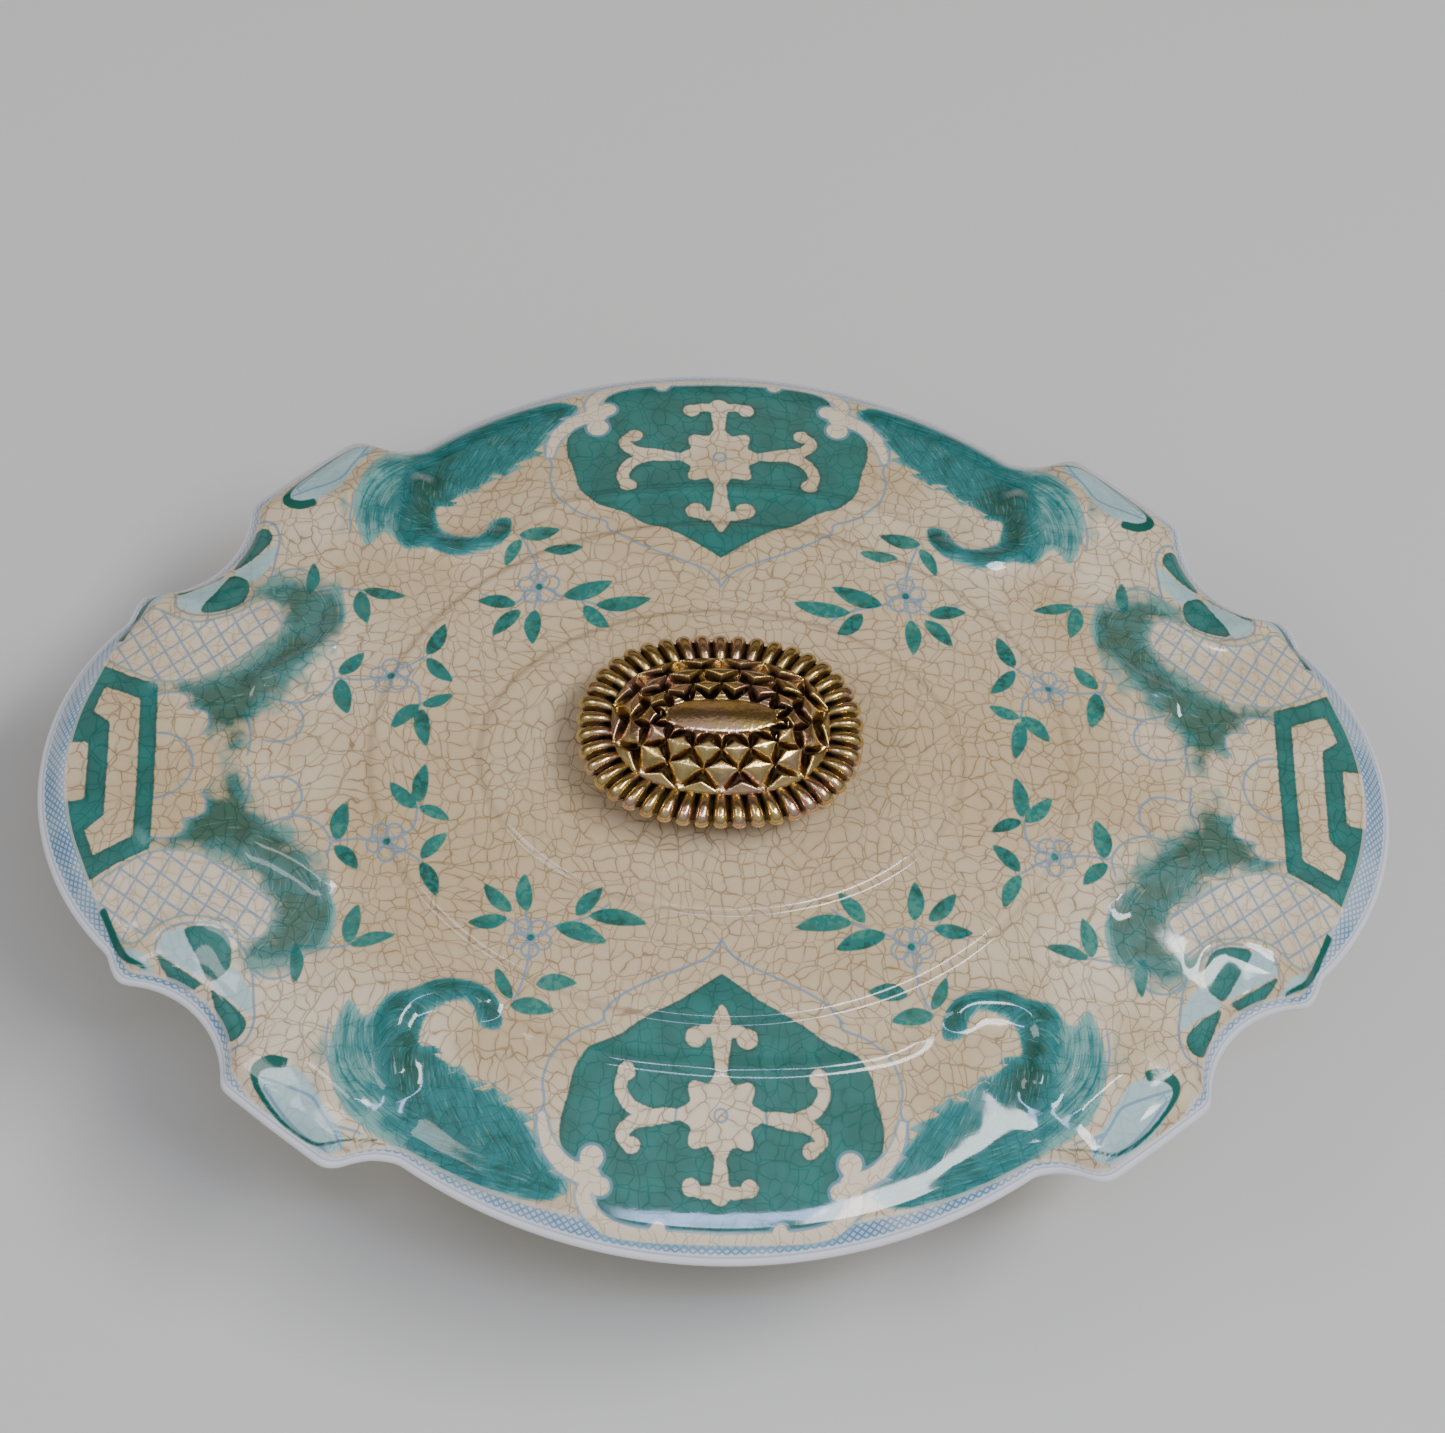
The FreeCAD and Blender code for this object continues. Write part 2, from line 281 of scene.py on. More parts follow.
class Canvas:
    """Paint channels over points given by their plan position in the folded quadrant."""

    def __init__(self, x, y):
        self.shape = x.shape
        self.x, self.y = x.ravel(), y.ravel()
        self.paint = {}

    def channel(self, name, fill=FAR):
        if name not in self.paint:
            self.paint[name] = np.full(self.x.shape, fill)
        return self.paint[name]

    def near(self, line, reach=FAR):
        low, high = line.min(0) - reach, line.max(0) + reach
        return np.flatnonzero((self.x > low[0]) & (self.x < high[0]) & (self.y > low[1]) & (self.y < high[1]))

    def signed(self, line):
        """Points near a closed outline, and their distance from it, negative inside."""
        line = np.asarray(line)
        at = self.near(line)
        d = to_line(self.x[at], self.y[at], line, closed=True)[0]
        return at, np.where(is_inside(self.x[at], self.y[at], line), -d, d)

    def fill(self, name, *outlines):
        values = self.channel(name)
        for outline in outlines:
            at, d = self.signed(outline)
            values[at] = np.minimum(values[at], d)

    def cut(self, name, *outlines):
        values = self.channel(name)
        for outline in outlines:
            at, d = self.signed(outline)
            values[at] = np.maximum(values[at], -d)

    def ink(self, name, *lines, closed=False):
        """Thin lines, kept as the signed distance to the nearest one, and a mask of where that distance holds."""
        values, mask = self.channel(name), self.channel(name + "_off")
        for line in lines:
            line = np.asarray(line)
            at = self.near(line, 3.0)
            d, side, _ = to_line(self.x[at], self.y[at], line, closed)
            better = d < np.abs(values[at])
            values[at[better]] = (d * side)[better]
            mask[at] = np.minimum(mask[at], d - 1.3)

    def ridge(self, path, height, width, taper=6.0):
        """Rounded moulding along a path, fading at both ends."""
        line = curve(path)
        at = self.near(line, 3 * width)
        d, _, along = to_line(self.x[at], self.y[at], line)
        total = np.sum(np.hypot(*np.diff(line, axis=0).T))
        fade = smooth(along, 0, taper) * smooth(total - along, 0, taper)
        values = self.channel("relief", 0.0)
        values[at] = np.hypot(values[at], height * fade * np.exp(-(d / width) ** 2))

    def dome(self, centre, radius, height):
        """A rounded bump, or a hollow if its height is negative."""
        d = np.hypot(self.x - centre[0], self.y - centre[1])
        self.channel("relief", 0.0)[:] += height * (1 - smooth(d, 0, radius))

    def flow(self, at_name, path):
        """Coordinates along and across a spine, for brush streaks near the fill of that name."""
        at = np.flatnonzero(self.paint[at_name] < 4.0)
        line = curve(path)
        d, side, along = to_line(self.x[at], self.y[at], line)
        return at, along, d * side


# outlines of the painted decoration, plan mm in the +X +Y quadrant
MEDALLION = [(0, 51.7), (4, 54.6), (8, 57.5), (12.5, 60), (17, 62), (22, 65.5), (28, 68), (31.5, 72.5), (32.8, 78),
    (34.2, 83), (34.3, 88), (32, 92), (29, 94), (25, 95.4), (26.4, 99.6), (24, 103), (17.5, 105.2), (8, 105.6),
    (0, 105.8)]
MEDALLION_LINE = [(0, 44), (1.5, 46.6), (4, 48.8), (9, 51.2), (15, 53.8), (21, 57), (25, 60.4), (25.6, 62.6),
    (31, 64.8), (36, 69.2), (38.2, 75), (37.8, 80), (39.4, 84), (39, 89), (35.5, 94), (31.4, 96)]
BIG_LEAF = [(32.5, 96), (33.5, 99), (36.5, 100.3), (45, 99), (55, 95.6), (62, 91), (68, 87.2), (74, 84.6), (78, 82),
    (80, 79.8), (81.6, 76), (83.3, 70), (83.3, 65), (82.3, 61.5), (80, 56), (77.5, 58.4), (75.5, 60), (73.5, 57.6),
    (71.5, 55.3), (69, 54.8), (66, 54.4), (62, 52.9), (57.5, 52.6), (52.5, 53.8), (49.5, 55.8), (47.8, 58.2),
    (46.8, 61.8), (47.6, 64), (49.6, 64.2), (51.5, 63.4), (52.8, 61.6), (53.4, 59.4), (55.6, 58), (59, 58.4),
    (62.4, 60), (64, 63.2), (64, 67), (61, 67.2), (59.2, 69.6), (57.6, 71.6), (55.4, 71.4), (53.5, 73.8),
    (50.4, 76.4), (48.2, 75.4), (46.6, 78), (44, 80.5), (41.5, 82.6), (39.6, 86), (38, 89.2), (35.4, 93.2)]
BIG_LEAF_SPINE = [(33, 99), (45, 92.5), (58, 85), (68, 77), (73.5, 68), (70.5, 58), (60, 55.2), (51.5, 57),
    (48.5, 63)]
END_LEAF = [(124.3, 18), (118, 19.4), (112, 21.3), (106, 24.3), (100, 29), (96.8, 33), (96.4, 36.5), (97, 40),
    (100.5, 42.2), (102.8, 44.2), (100.6, 47.2), (96, 48), (91.6, 46.4), (88.6, 45), (85.4, 43.6), (83.4, 39.6),
    (83.4, 35.2), (86, 31), (88.5, 27.5), (90.5, 24), (93.5, 21), (96.6, 17.6), (100, 15), (103.4, 12), (105.6, 8.6),
    (107, 4), (108.6, 8), (111, 9), (113.5, 8), (113, 11.5), (116, 13.6), (117, 17.2), (120.5, 18.4)]
END_LEAF_SPINE = [(122, 18.8), (112, 18), (103, 20), (95, 25.5), (90.5, 33), (91, 40), (98, 45)]
FRET_BAR = [(128.2, 0), (128.2, 17), (136.3, 20.8), (138.6, 14.6), (134.8, 11.5), (134.8, 0)]
FRET = [(143.8, 7.1), (142.8, 14), (140.8, 20), (137.6, 27.2), (131, 23.4), (124.2, 20.4), (124.2, 0)]
LATTICE = [(136, 28.5), (130, 24.2), (124, 21.4), (116, 21.6), (108, 25.3), (102, 29.8), (97.8, 33.4), (97, 37),
    (98.4, 41), (102, 42.4), (106, 39), (110, 37.6), (116, 36.7), (121, 38.5), (126.5, 42), (131, 38), (134, 33)]
PETAL = [(98.2, 73), (96, 70.4), (92, 70), (88, 72.4), (85.5, 76), (83, 80), (80.5, 83.5), (79, 87), (82, 88.4),
    (86, 87.2), (91, 83.6), (95.5, 78.6)]
SPRIG_LEAVES = [((66, 13), (72, 6.6), 3.6), ((65.5, 12), (64, 2), 3.6), ((65.5, 12.6), (58.6, 15.6), 3),
    ((65, 25), (59, 18.6), 3.4), ((65, 25.6), (61.4, 34), 3.6), ((83.5, 20.5), (81.5, 11), 4.2),
    ((84, 21.5), (78.6, 27.2), 3.6), ((80.6, 44), (78.4, 34.8), 3.8), ((80, 44.3), (70.2, 42), 3), ((91.6, 43.6),
    (91.4, 52.4), 3), ((45, 37.6), (51.2, 30.6), 3.6), ((41.8, 37.6), (42.2, 28.2), 3.8), ((46, 39), (54.8, 40), 3.6),
    ((35.6, 41), (24.2, 45.2), 4.4), ((31, 38.6), (25.2, 32.2), 3.8), ((28.4, 38.6), (15.4, 40.6), 4),
    ((40, 54.3), (30.8, 54.6), 3.6), ((45, 57.6), (48.6, 49.8), 3), ((45.6, 58.7), (35.8, 60.4), 4)]
STEMS = [[(65.8, 12.8), (67, 18), (72.5, 20.7), (79, 20), (84, 20.6)], [(65.4, 25.2), (68, 23.5), (72.5, 20.7)],
    [(53, 41.5), (46, 39.6), (41, 43.7), (36, 41.2), (28, 38.8), (24, 36)], [(80.4, 44.2), (86, 44.6), (91.6, 43.8)],
    [(44.5, 57.5), (42, 51), (41, 43.7)], [(42, 38), (41.4, 41), (41, 43.7)]]
FLOWERS = [((41, 43.7), 4.6), ((72.5, 20.7), 4.4)]
SCALLOPS = [(124.4, 17.6), (122, 18.2), (118.6, 17.8), (117, 16), (117.4, 14), (115, 13.6), (112.8, 12.4),
    (112.6, 9.6), (113.6, 7.6)]
CURLS = [[(100, 5), (95.5, 4.6), (92, 7), (91.5, 11), (94, 14.5)], [(99, 16), (93, 14.4), (88, 16), (85, 20),
    (85.6, 24)], [(103.5, 2), (103, 7), (104.4, 12)], [(101, 47.6), (97.6, 50.6), (93, 50.4), (90, 47)]]
PETAL_LINES = [[(97, 72.2), (93, 73.8), (89, 75.4), (86, 77.2), (84, 80.4), (81.6, 84), (80, 87)], [(96.4, 74.5),
    (92, 80), (87.6, 84.4), (83, 87.6)], [(83.6, 61), (83.9, 66), (82.6, 71.5), (80.4, 76)], [(82, 82.8), (79.4, 84),
    (76, 84.9)]]
PINWHEEL_LINE = [(121.4, 44.6), (120.8, 41), (117.6, 38.9), (113.5, 38.4), (109, 39), (105.6, 41.4), (102, 45.2),
    (100.4, 50), (99.8, 55), (99.4, 60), (101, 64.2), (104, 65.6)]


def rosette(centre, radius, depth, lobes, count=96):
    a = np.linspace(0, 2 * np.pi, count, endpoint=False)
    r = radius + depth * np.cos(lobes * a)
    return np.stack([centre[0] + r * np.cos(a), centre[1] + r * np.sin(a)], 1)


def paint_medallion(canvas):
    canvas.fill("green", mirrored(curve(MEDALLION, per=5), 0))
    cream = [rosette((0, 82), 8.3, 1.2, 8), stroke([(0, 75), (0, 70), (0, 65), (0, 61)], (2.2, 3, 4.6, 1.2)),
        curve([(-2, 63), (0, 58.8), (2, 63), (0, 66)], True), stroke([(0, 90), (0, 98)], (2, 4.4)), circle((0, 98.5),
        2.1), stroke([(8, 82), (12, 82.4), (15.6, 83)], (1.8, 3.2, 3.6)), stroke([(15, 82.6), (19.5, 80.6),
        (21.6, 77), (21, 73.6)], (2.8, 2.8, 2.4)), circle((20.4, 73.4), 1.9), stroke([(15, 83.2), (19, 84),
        (21.4, 86.4), (20.4, 88.6)], (2.8, 2.8, 2.2)), circle((19.2, 88.8), 1.8)]
    for side in (1, -1):
        cream += [stroke([(0, 64.4), (side * 3.4, 64.2), (side * 5.2, 65.2)], (2.6, 2.8)), circle((side * 5.4, 65.6),
            2.2), stroke([(0, 97.6), (side * 3.6, 98), (side * 6.2, 97.4)], (2.4, 2.6)), circle((side * 6.4, 97),
            1.9)]
    canvas.cut("green", *cream)
    scroll = [stroke([(38.4, 82), (37, 88), (33.6, 92.6), (29, 95), (26.4, 93.6)], (1.2, 3, 3.6, 3)),
        circle((27.5, 91.4), 2.4), circle((25.4, 97.3), 1.9), circle((13.2, 105.4), 1.5),
        stroke([(25.2, 97.3), (27.6, 97), (29, 98.6), (28.2, 101.2), (26, 103.6), (22.5, 105.3), (17, 106.3),
        (8, 106.9), (0, 107.1)], (2.6, 2.8, 2.8, 2.8, 2.6, 2.1, 1.8, 1.7))]
    canvas.cut("green", *scroll)
    canvas.fill("cream_over", *scroll)
    canvas.ink("ink", curve(MEDALLION_LINE), circle((0, 82), 1.4))
    canvas.ink("ink_thin", [(9.6, 80.6), (9.9, 83.4)])


def paint_leaves(canvas):
    canvas.fill("leaf", curve(BIG_LEAF, True, 3), curve(END_LEAF, True, 3))
    along, across = canvas.channel("leaf_u", 0.0), canvas.channel("leaf_v", 0.0)
    for path, offset in ((BIG_LEAF_SPINE, 0.0), (END_LEAF_SPINE, 300.0)):
        at, u, v = canvas.flow("leaf", path)
        mine = ((canvas.x[at] < 84.5) & (canvas.y[at] > 50) if offset == 0
                else (canvas.x[at] > 82) & (canvas.y[at] < 50))
        along[at[mine]], across[at[mine]] = u[mine] + offset, v[mine]
    dark = canvas.channel("leaf_dark", 0.0)
    for x, y, radius, strength in ((67.5, 66, 5, 0.8), (66, 74, 6, 0.7), (60, 54.5, 4, 0.7), (71, 58, 4, 0.6),
            (50, 58, 3.5, 0.8), (37, 98, 7, 0.3), (45, 95, 8, 0.2), (55, 90, 9, 0.2), (106, 14, 5, 1.3), (108, 9, 3.5,
            1.1), (114, 17, 4, 0.9), (121, 19, 4, 0.8), (107, 5, 3, 0.9), (99, 20, 5, 0.5), (92, 38, 7, 0.5),
            (97, 28, 6, 0.4), (47.6, 62, 2.5, 0.7), (64.8, 60, 2, 0.25), (65.2, 66, 2.2, 0.3), (65.8, 72, 2.4, 0.35),
            (86, 34, 4, 0.3)):
        dark += strength * np.exp(-((canvas.x - x) ** 2 + (canvas.y - y) ** 2) / radius ** 2)


def paint_ends(canvas):
    canvas.fill("green", mirrored(FRET, 1))
    canvas.cut("green", mirrored(FRET_BAR, 1), [(139.4, -6.9), (139.4, 6.9), (146.0, 7.4), (146.0, -7.4)])
    canvas.fill("lattice", curve(LATTICE, True, 3))
    canvas.fill("reserve", curve(LATTICE, True, 3), mirrored([(110, 0), (113, 6), *SCALLOPS[::-1], (124.6, 0)], 1))
    canvas.fill("green", curve([(109.8, 50.3), (112.5, 45.5), (115.5, 39.8), (111, 39.2), (107.5, 40.4),
        (105.8, 42.2), (105, 45.4), (105.6, 48.4), (107.8, 50.2)], True, 3), curve([(110.8, 50.9), (116, 47.6),
        (121.4, 44.6), (118.4, 49), (115, 51.2), (112.8, 51.6), (111, 51.2)], True, 3),
        curve([(109, 52.3), (106, 54.2), (103, 57), (101, 60), (101.8, 62.6), (103.8, 63.6), (105.8, 62.2),
        (107, 58.5), (108.2, 55.4)], True, 3))
    canvas.fill("green_over", stroke([(133.4, 33.4), (131.4, 37.8), (129.4, 41.8), (127.2, 45), (123, 47.4)],
        (1.6, 1.4, 1.5, 1.2, 0.5)), stroke([(91.8, 69.7), (95.4, 69), (98.2, 70.4), (98.3, 73.2), (95.7, 77.2),
        (91.8, 81.4), (87.4, 84.9), (83.4, 86.6), (78, 86.3), (72, 85.8)], (2.2, 2.8, 2.4, 1.3, 0.9, 0.8, 0.7, 0.6,
        0.4, 0.3)))
    canvas.fill("pale", curve(PETAL, True, 3), curve([(120.5, 44.5), (120, 41), (117.5, 39.7), (115.5, 39.7),
        (112, 46), (110.3, 50.2), (116, 47.2)], True, 3), curve([(105, 48), (102.5, 50), (100.2, 54), (100.2, 58.4),
        (104.6, 54.8), (109, 51.4)], True, 3), curve([(131, 42), (128, 45), (124, 47.6), (121.5, 48.6), (124, 44.5),
        (127.5, 42.5)], True, 3))


def paint_sprigs(canvas):
    for base, tip, width in SPRIG_LEAVES:
        canvas.fill("sprig", leaf(base, tip, width, 0.04))
    for centre, radius in FLOWERS:
        canvas.fill("sprig", circle(centre, 0.9, 10))
        for k in range(5):
            a = 2 * math.pi * (k + 0.2) / 5
            middle = (centre[0] + 0.62 * radius * math.cos(a), centre[1] + 0.62 * radius * math.sin(a))
            canvas.ink("ink" if k % 2 else "ink_thin", circle(middle, 0.42 * radius, 12), closed=True)
    canvas.ink("ink", *[curve(p) for p in STEMS])
    canvas.ink("ink", *[curve(p) for p in CURLS], *[curve(p) for p in PETAL_LINES], curve(SCALLOPS),
        curve(PINWHEEL_LINE))
    canvas.ink("ink", arc((123.8, 0), 8, 90, 270, 24))


def mould(canvas):
    """Raised scrolls and shallow hollows of the lid's shoulder."""
    canvas.ridge([(49, 62.5), (50.5, 58.5), (54, 56), (59, 55.4), (64, 56), (68, 58.4), (70, 63), (69, 70), (67, 78)],
        1.9, 3, 5)
    canvas.ridge([(92, 67.4), (86, 70.5), (82, 74), (78, 77.5), (73, 80.5)], 1.4, 2.8)
    canvas.ridge([(68, 81), (50, 89.5), (36, 97)], 0.45, 7, 14)
    canvas.ridge([(46, 62), (38, 66.5), (30, 69), (15, 71.3), (-5, 72.2)], 0.7, 1.5, 8)
    canvas.ridge([(105, 15), (101, 20.5), (96, 23), (91, 26), (87, 29), (82, 33)], 1.8, 2.6)
    canvas.ridge([(124, 42), (119, 38), (114, 36.8), (109, 37.8), (104.5, 41), (103, 47)], 0.7, 1.8)
    canvas.dome((108, 45), 5, 0.4)
    canvas.dome((116, 48.4), 4, 0.3)
    canvas.dome((114, 30), 12, -0.9)
    canvas.dome((90, 79), 7, -0.8)


def decorate(x, y):
    """The whole decoration, painted over points given by plan position, and slightly different in each quadrant."""
    drift_x = 0.45 * np.tanh(np.abs(x) / 12) * np.sin(0.060 * y + 0.045 * x + 1.3)
    drift_y = 0.45 * np.tanh(np.abs(y) / 12) * np.sin(0.055 * x - 0.040 * y + 0.4)
    canvas = Canvas(np.abs(x) + drift_x, np.abs(y) + drift_y)
    for job in (paint_medallion, paint_leaves, paint_ends, paint_sprigs, mould):
        job(canvas)
    return canvas


def spread(canvas, before, after, inset, border):
    """Paint channels over all rows of a piece, blank on the rows before and after the painted ones, and those of its
    border. inset is each row's distance in from the edge."""
    painted = len(inset) - before - after
    channels = {"inset": np.repeat(inset[:, None], COLUMNS, 1), "band_s": np.repeat(FOLDED_S[None], len(inset), 0)}
    channels["border"] = channels["inset"] - border
    for name, values in canvas.paint.items():
        blank = 0.0 if name in ("leaf_u", "leaf_v", "leaf_dark") else FAR
        blocks = [np.full((before, COLUMNS), blank), values.reshape(painted, COLUMNS), np.full((after, COLUMNS),
            blank)]
        channels[name] = np.concatenate(blocks)
    return channels


# ---------------------------------------------------------------- lid
def build_lid():
    across = A - BAND
    sizes = np.concatenate([[0.035, 0.06], np.linspace(0.09, 1.0, 158)])
    lobes = lobes_at(sizes * across / A)
    rise = steady(sizes * across / A, [0, 0.15, 0.30, 0.375, 0.53, 0.56, 0.75, 0.92, 0.9633], [19.0, 18.98, 18.8,
        18.4, 17.55, 17.25, 13.6, 9.0, 7.2])
    top = [round_row(RIM_Z + TOP_RISE, HOLE_R)]
    top += [level(RIM_Z + z, t, f, BAND * t) for t, f, z in zip(sizes, lobes, rise)]
    top = np.array(top)
    x, y = top[..., 0], top[..., 1]
    # distance to the ring steps, for the painted shade line that darkens along them
    step = np.full((len(top), COLUMNS), FAR)
    for half_x, half_y in (RING_ONE, RING_TWO):
        out = (np.hypot(x / half_x, y / half_y) - 1) * (half_x + half_y) / 2
        step = np.minimum(step, np.abs(out - 0.5))
        top[1:, :, 2] += (1 - smooth(out, -1.0, 1.0))[1:]

    edge_path = curve([(BAND, 7.2), (4.3, 6.3), (3.2, 5.1), (2.2, 3.9), (1.2, 3.1), (0.35, 2.5), (0.0, 1.6),
        (0.3, 0.7), (1.1, 0.15), (1.9, 0.0)], per=2)[1:]
    edge = np.array([level(RIM_Z + z, 1.0, 1.0, inset) for inset, z in edge_path])
    outside = np.concatenate([top, edge])
    x, y = outside[..., 0], outside[..., 1]
    canvas = decorate(x, y)
    relief = canvas.paint.pop("relief").reshape(x.shape)
    relief[len(top):] *= np.linspace(1, 0, len(edge))[:, None] ** 2
    outside[..., 2] += relief

    # underside: rim, lip that sits inside the bowl, and vault
    lip_z = RIM_Z - LIP_DEPTH
    lip_lobes = (lip_z - FLOOR_Z) / (RIM_Z - FLOOR_Z)
    lip_size = FOOT_SIZE + (RIM_SIZE - FOOT_SIZE) * lip_lobes ** FLARE
    outer, inner = WALL + LIP_GAP, WALL + LIP_GAP + LIP_WALL
    under = between([(RIM_Z, 1.0, 1.0, 2.2), (RIM_Z, RIM_SIZE, 1.0, outer), (lip_z + 0.6, lip_size, lip_lobes, outer),
        (lip_z, lip_size, lip_lobes, outer + 0.7), (lip_z, lip_size, lip_lobes, inner - 0.7), (lip_z + 0.6, lip_size,
        lip_lobes, inner), (RIM_Z + 2.0, RIM_SIZE, 1.0, inner), (RIM_Z + 6.6, 0.93, 0.9, inner), (RIM_Z + 9.8, 0.78,
        0.5, inner), (RIM_Z + 13.0, 0.60, 0.0, inner), (RIM_Z + 15.2, 0.40, 0.0, inner), (RIM_Z + UNDER_RISE, 0.24,
        0.0, inner)], (3, 5, 1, 3, 1, 6, 4, 5, 5, 5, 4))
    under += [level(RIM_Z + UNDER_RISE, 0.24, 0.0, inner), round_row(RIM_Z + UNDER_RISE, HOLE_R)]
    rows = np.concatenate([outside, np.array(under)])

    side = np.where(edge_path[:, 1] < 1.6, -1, 1)
    inset = np.concatenate([[40.0], BAND + (1 - sizes) * across, edge_path[:, 0] * side, np.full(len(under), -3.0)])
    channels = spread(canvas, 0, len(under), inset, BORDER)
    channels["plan_x"], channels["plan_y"] = rows[..., 0], rows[..., 1]
    channels["step"] = np.concatenate([step, np.full((len(rows) - len(step), COLUMNS), FAR)])
    return make_mesh("lid_porcelain", rows, channels)


# ---------------------------------------------------------------- bowl
def build_bowl():
    """Flared bowl on an oval foot ring. Its outside carries the lid's decoration, mirrored at the rim."""
    def wall_level(z, low, inset=0.0):
        u = (z - low) / (RIM_Z - low)
        return level(z, FOOT_SIZE + (RIM_SIZE - FOOT_SIZE) * u ** FLARE, u, inset)

    foot_z, top_z = 9.0, RIM_Z - 0.9     # lower and upper ends of the flared wall
    foot = between([(8.0, 0.02, 0, 0), *[(z, FOOT_SIZE + wider, 0, 0) for z, wider in ((8.0, -0.062), (7.0, -0.054),
        (0.8, -0.036), (0.0, -0.030), (0.0, 0.0), (0.8, 0.005), (3.0, -0.010), (6.5, -0.006), (foot_z, 0.0))]],
        (14, 1, 4, 1, 3, 1, 2, 3, 2))
    closer = 1 / 0.75                    # rows lie closer together near the foot
    outer = np.array([wall_level(foot_z + (top_z - foot_z) * u, foot_z) for u in np.linspace(0.02, 1, 112) ** closer])
    rim = [level(RIM_Z - 0.35, RIM_SIZE - 0.001, 1, 0.1), level(RIM_Z - 0.03, RIM_SIZE, 1, 0.9), level(RIM_Z - 0.03,
        RIM_SIZE, 1, WALL - 0.9), level(RIM_Z - 0.35, RIM_SIZE, 1, WALL - 0.1)]
    inner = [wall_level(FLOOR_Z + (top_z - FLOOR_Z) * u, FLOOR_Z, WALL) for u in np.linspace(1, 0, 44) ** closer]
    inner += [level(FLOOR_Z, FOOT_SIZE * t, 0, WALL * t) for t in (0.85, 0.6, 0.35, 0.12)]

    # decoration: distance down the wall stands for distance in from the lid's edge
    lengths = [np.cumsum(np.hypot(*np.diff(outer[::-1, column][:, axes], axis=0).T)) for column, axes in ((0, [0, 2]),
        (COLUMNS // 4, [1, 2]))]
    below = np.concatenate([[0], (lengths[0] + lengths[1]) / 2])[::-1] + 0.8
    reach = 0.78 * below                 # the wall is longer than the lid's shoulder
    plan = np.array([section(1.0, f, r) for f, r in zip(lobes_at(1 - reach / A), reach)])
    canvas = decorate(plan[..., 0], plan[..., 1])
    relief = canvas.paint.pop("relief").reshape(len(outer), COLUMNS)
    outward = outer[..., :2] / np.maximum(np.hypot(outer[..., 0], outer[..., 1]), 1e-6)[..., None]
    outer[..., :2] += outward * (0.6 * relief * smooth(below, 2.0, 14.0)[:, None])[..., None]
    rows = np.concatenate([foot, outer, rim, inner])

    before, after = len(foot), len(rim) + len(inner)
    inset = np.concatenate([np.full(before, 40.0), below, np.full(len(rim), 0.3), np.full(len(inner), 40.0)])
    channels = spread(canvas, before, after, inset, BORDER * 1.25)
    channels["step"] = np.full((len(rows), COLUMNS), FAR)
    for axis, name in enumerate(("plan_x", "plan_y")):
        channels[name] = np.pad(plan[..., axis], ((before, after), (0, 0)))
    return make_mesh("bowl_porcelain", rows, channels, ends="capped")


# ---------------------------------------------------------------- shader helper
def rgb(r, g, b):
    """Linear colour from 0-255 screen values."""
    channels = (c / 255 for c in (r, g, b))
    return tuple(c / 12.92 if c <= 10 / 255 else ((c + 0.055) / 1.055) ** 2.4 for c in channels) + (1.0,)


class Wire:
    """A number that differs over the surface. It is used in sums as a plain number would be."""

    def __init__(self, shader, socket):
        self.shader, self.socket = shader, socket

    def __add__(self, other):
        return self.shader.math("ADD", self, other)

    def __sub__(self, other):
        return self.shader.math("SUBTRACT", self, other)

    def __rsub__(self, other):
        return self.shader.math("SUBTRACT", other, self)

    def __mul__(self, other):
        return self.shader.math("MULTIPLY", self, other)

    def __truediv__(self, other):
        return self.shader.math("DIVIDE", self, other)

    def __abs__(self):
        return self.shader.math("ABSOLUTE", self)

    __radd__, __rmul__ = __add__, __mul__


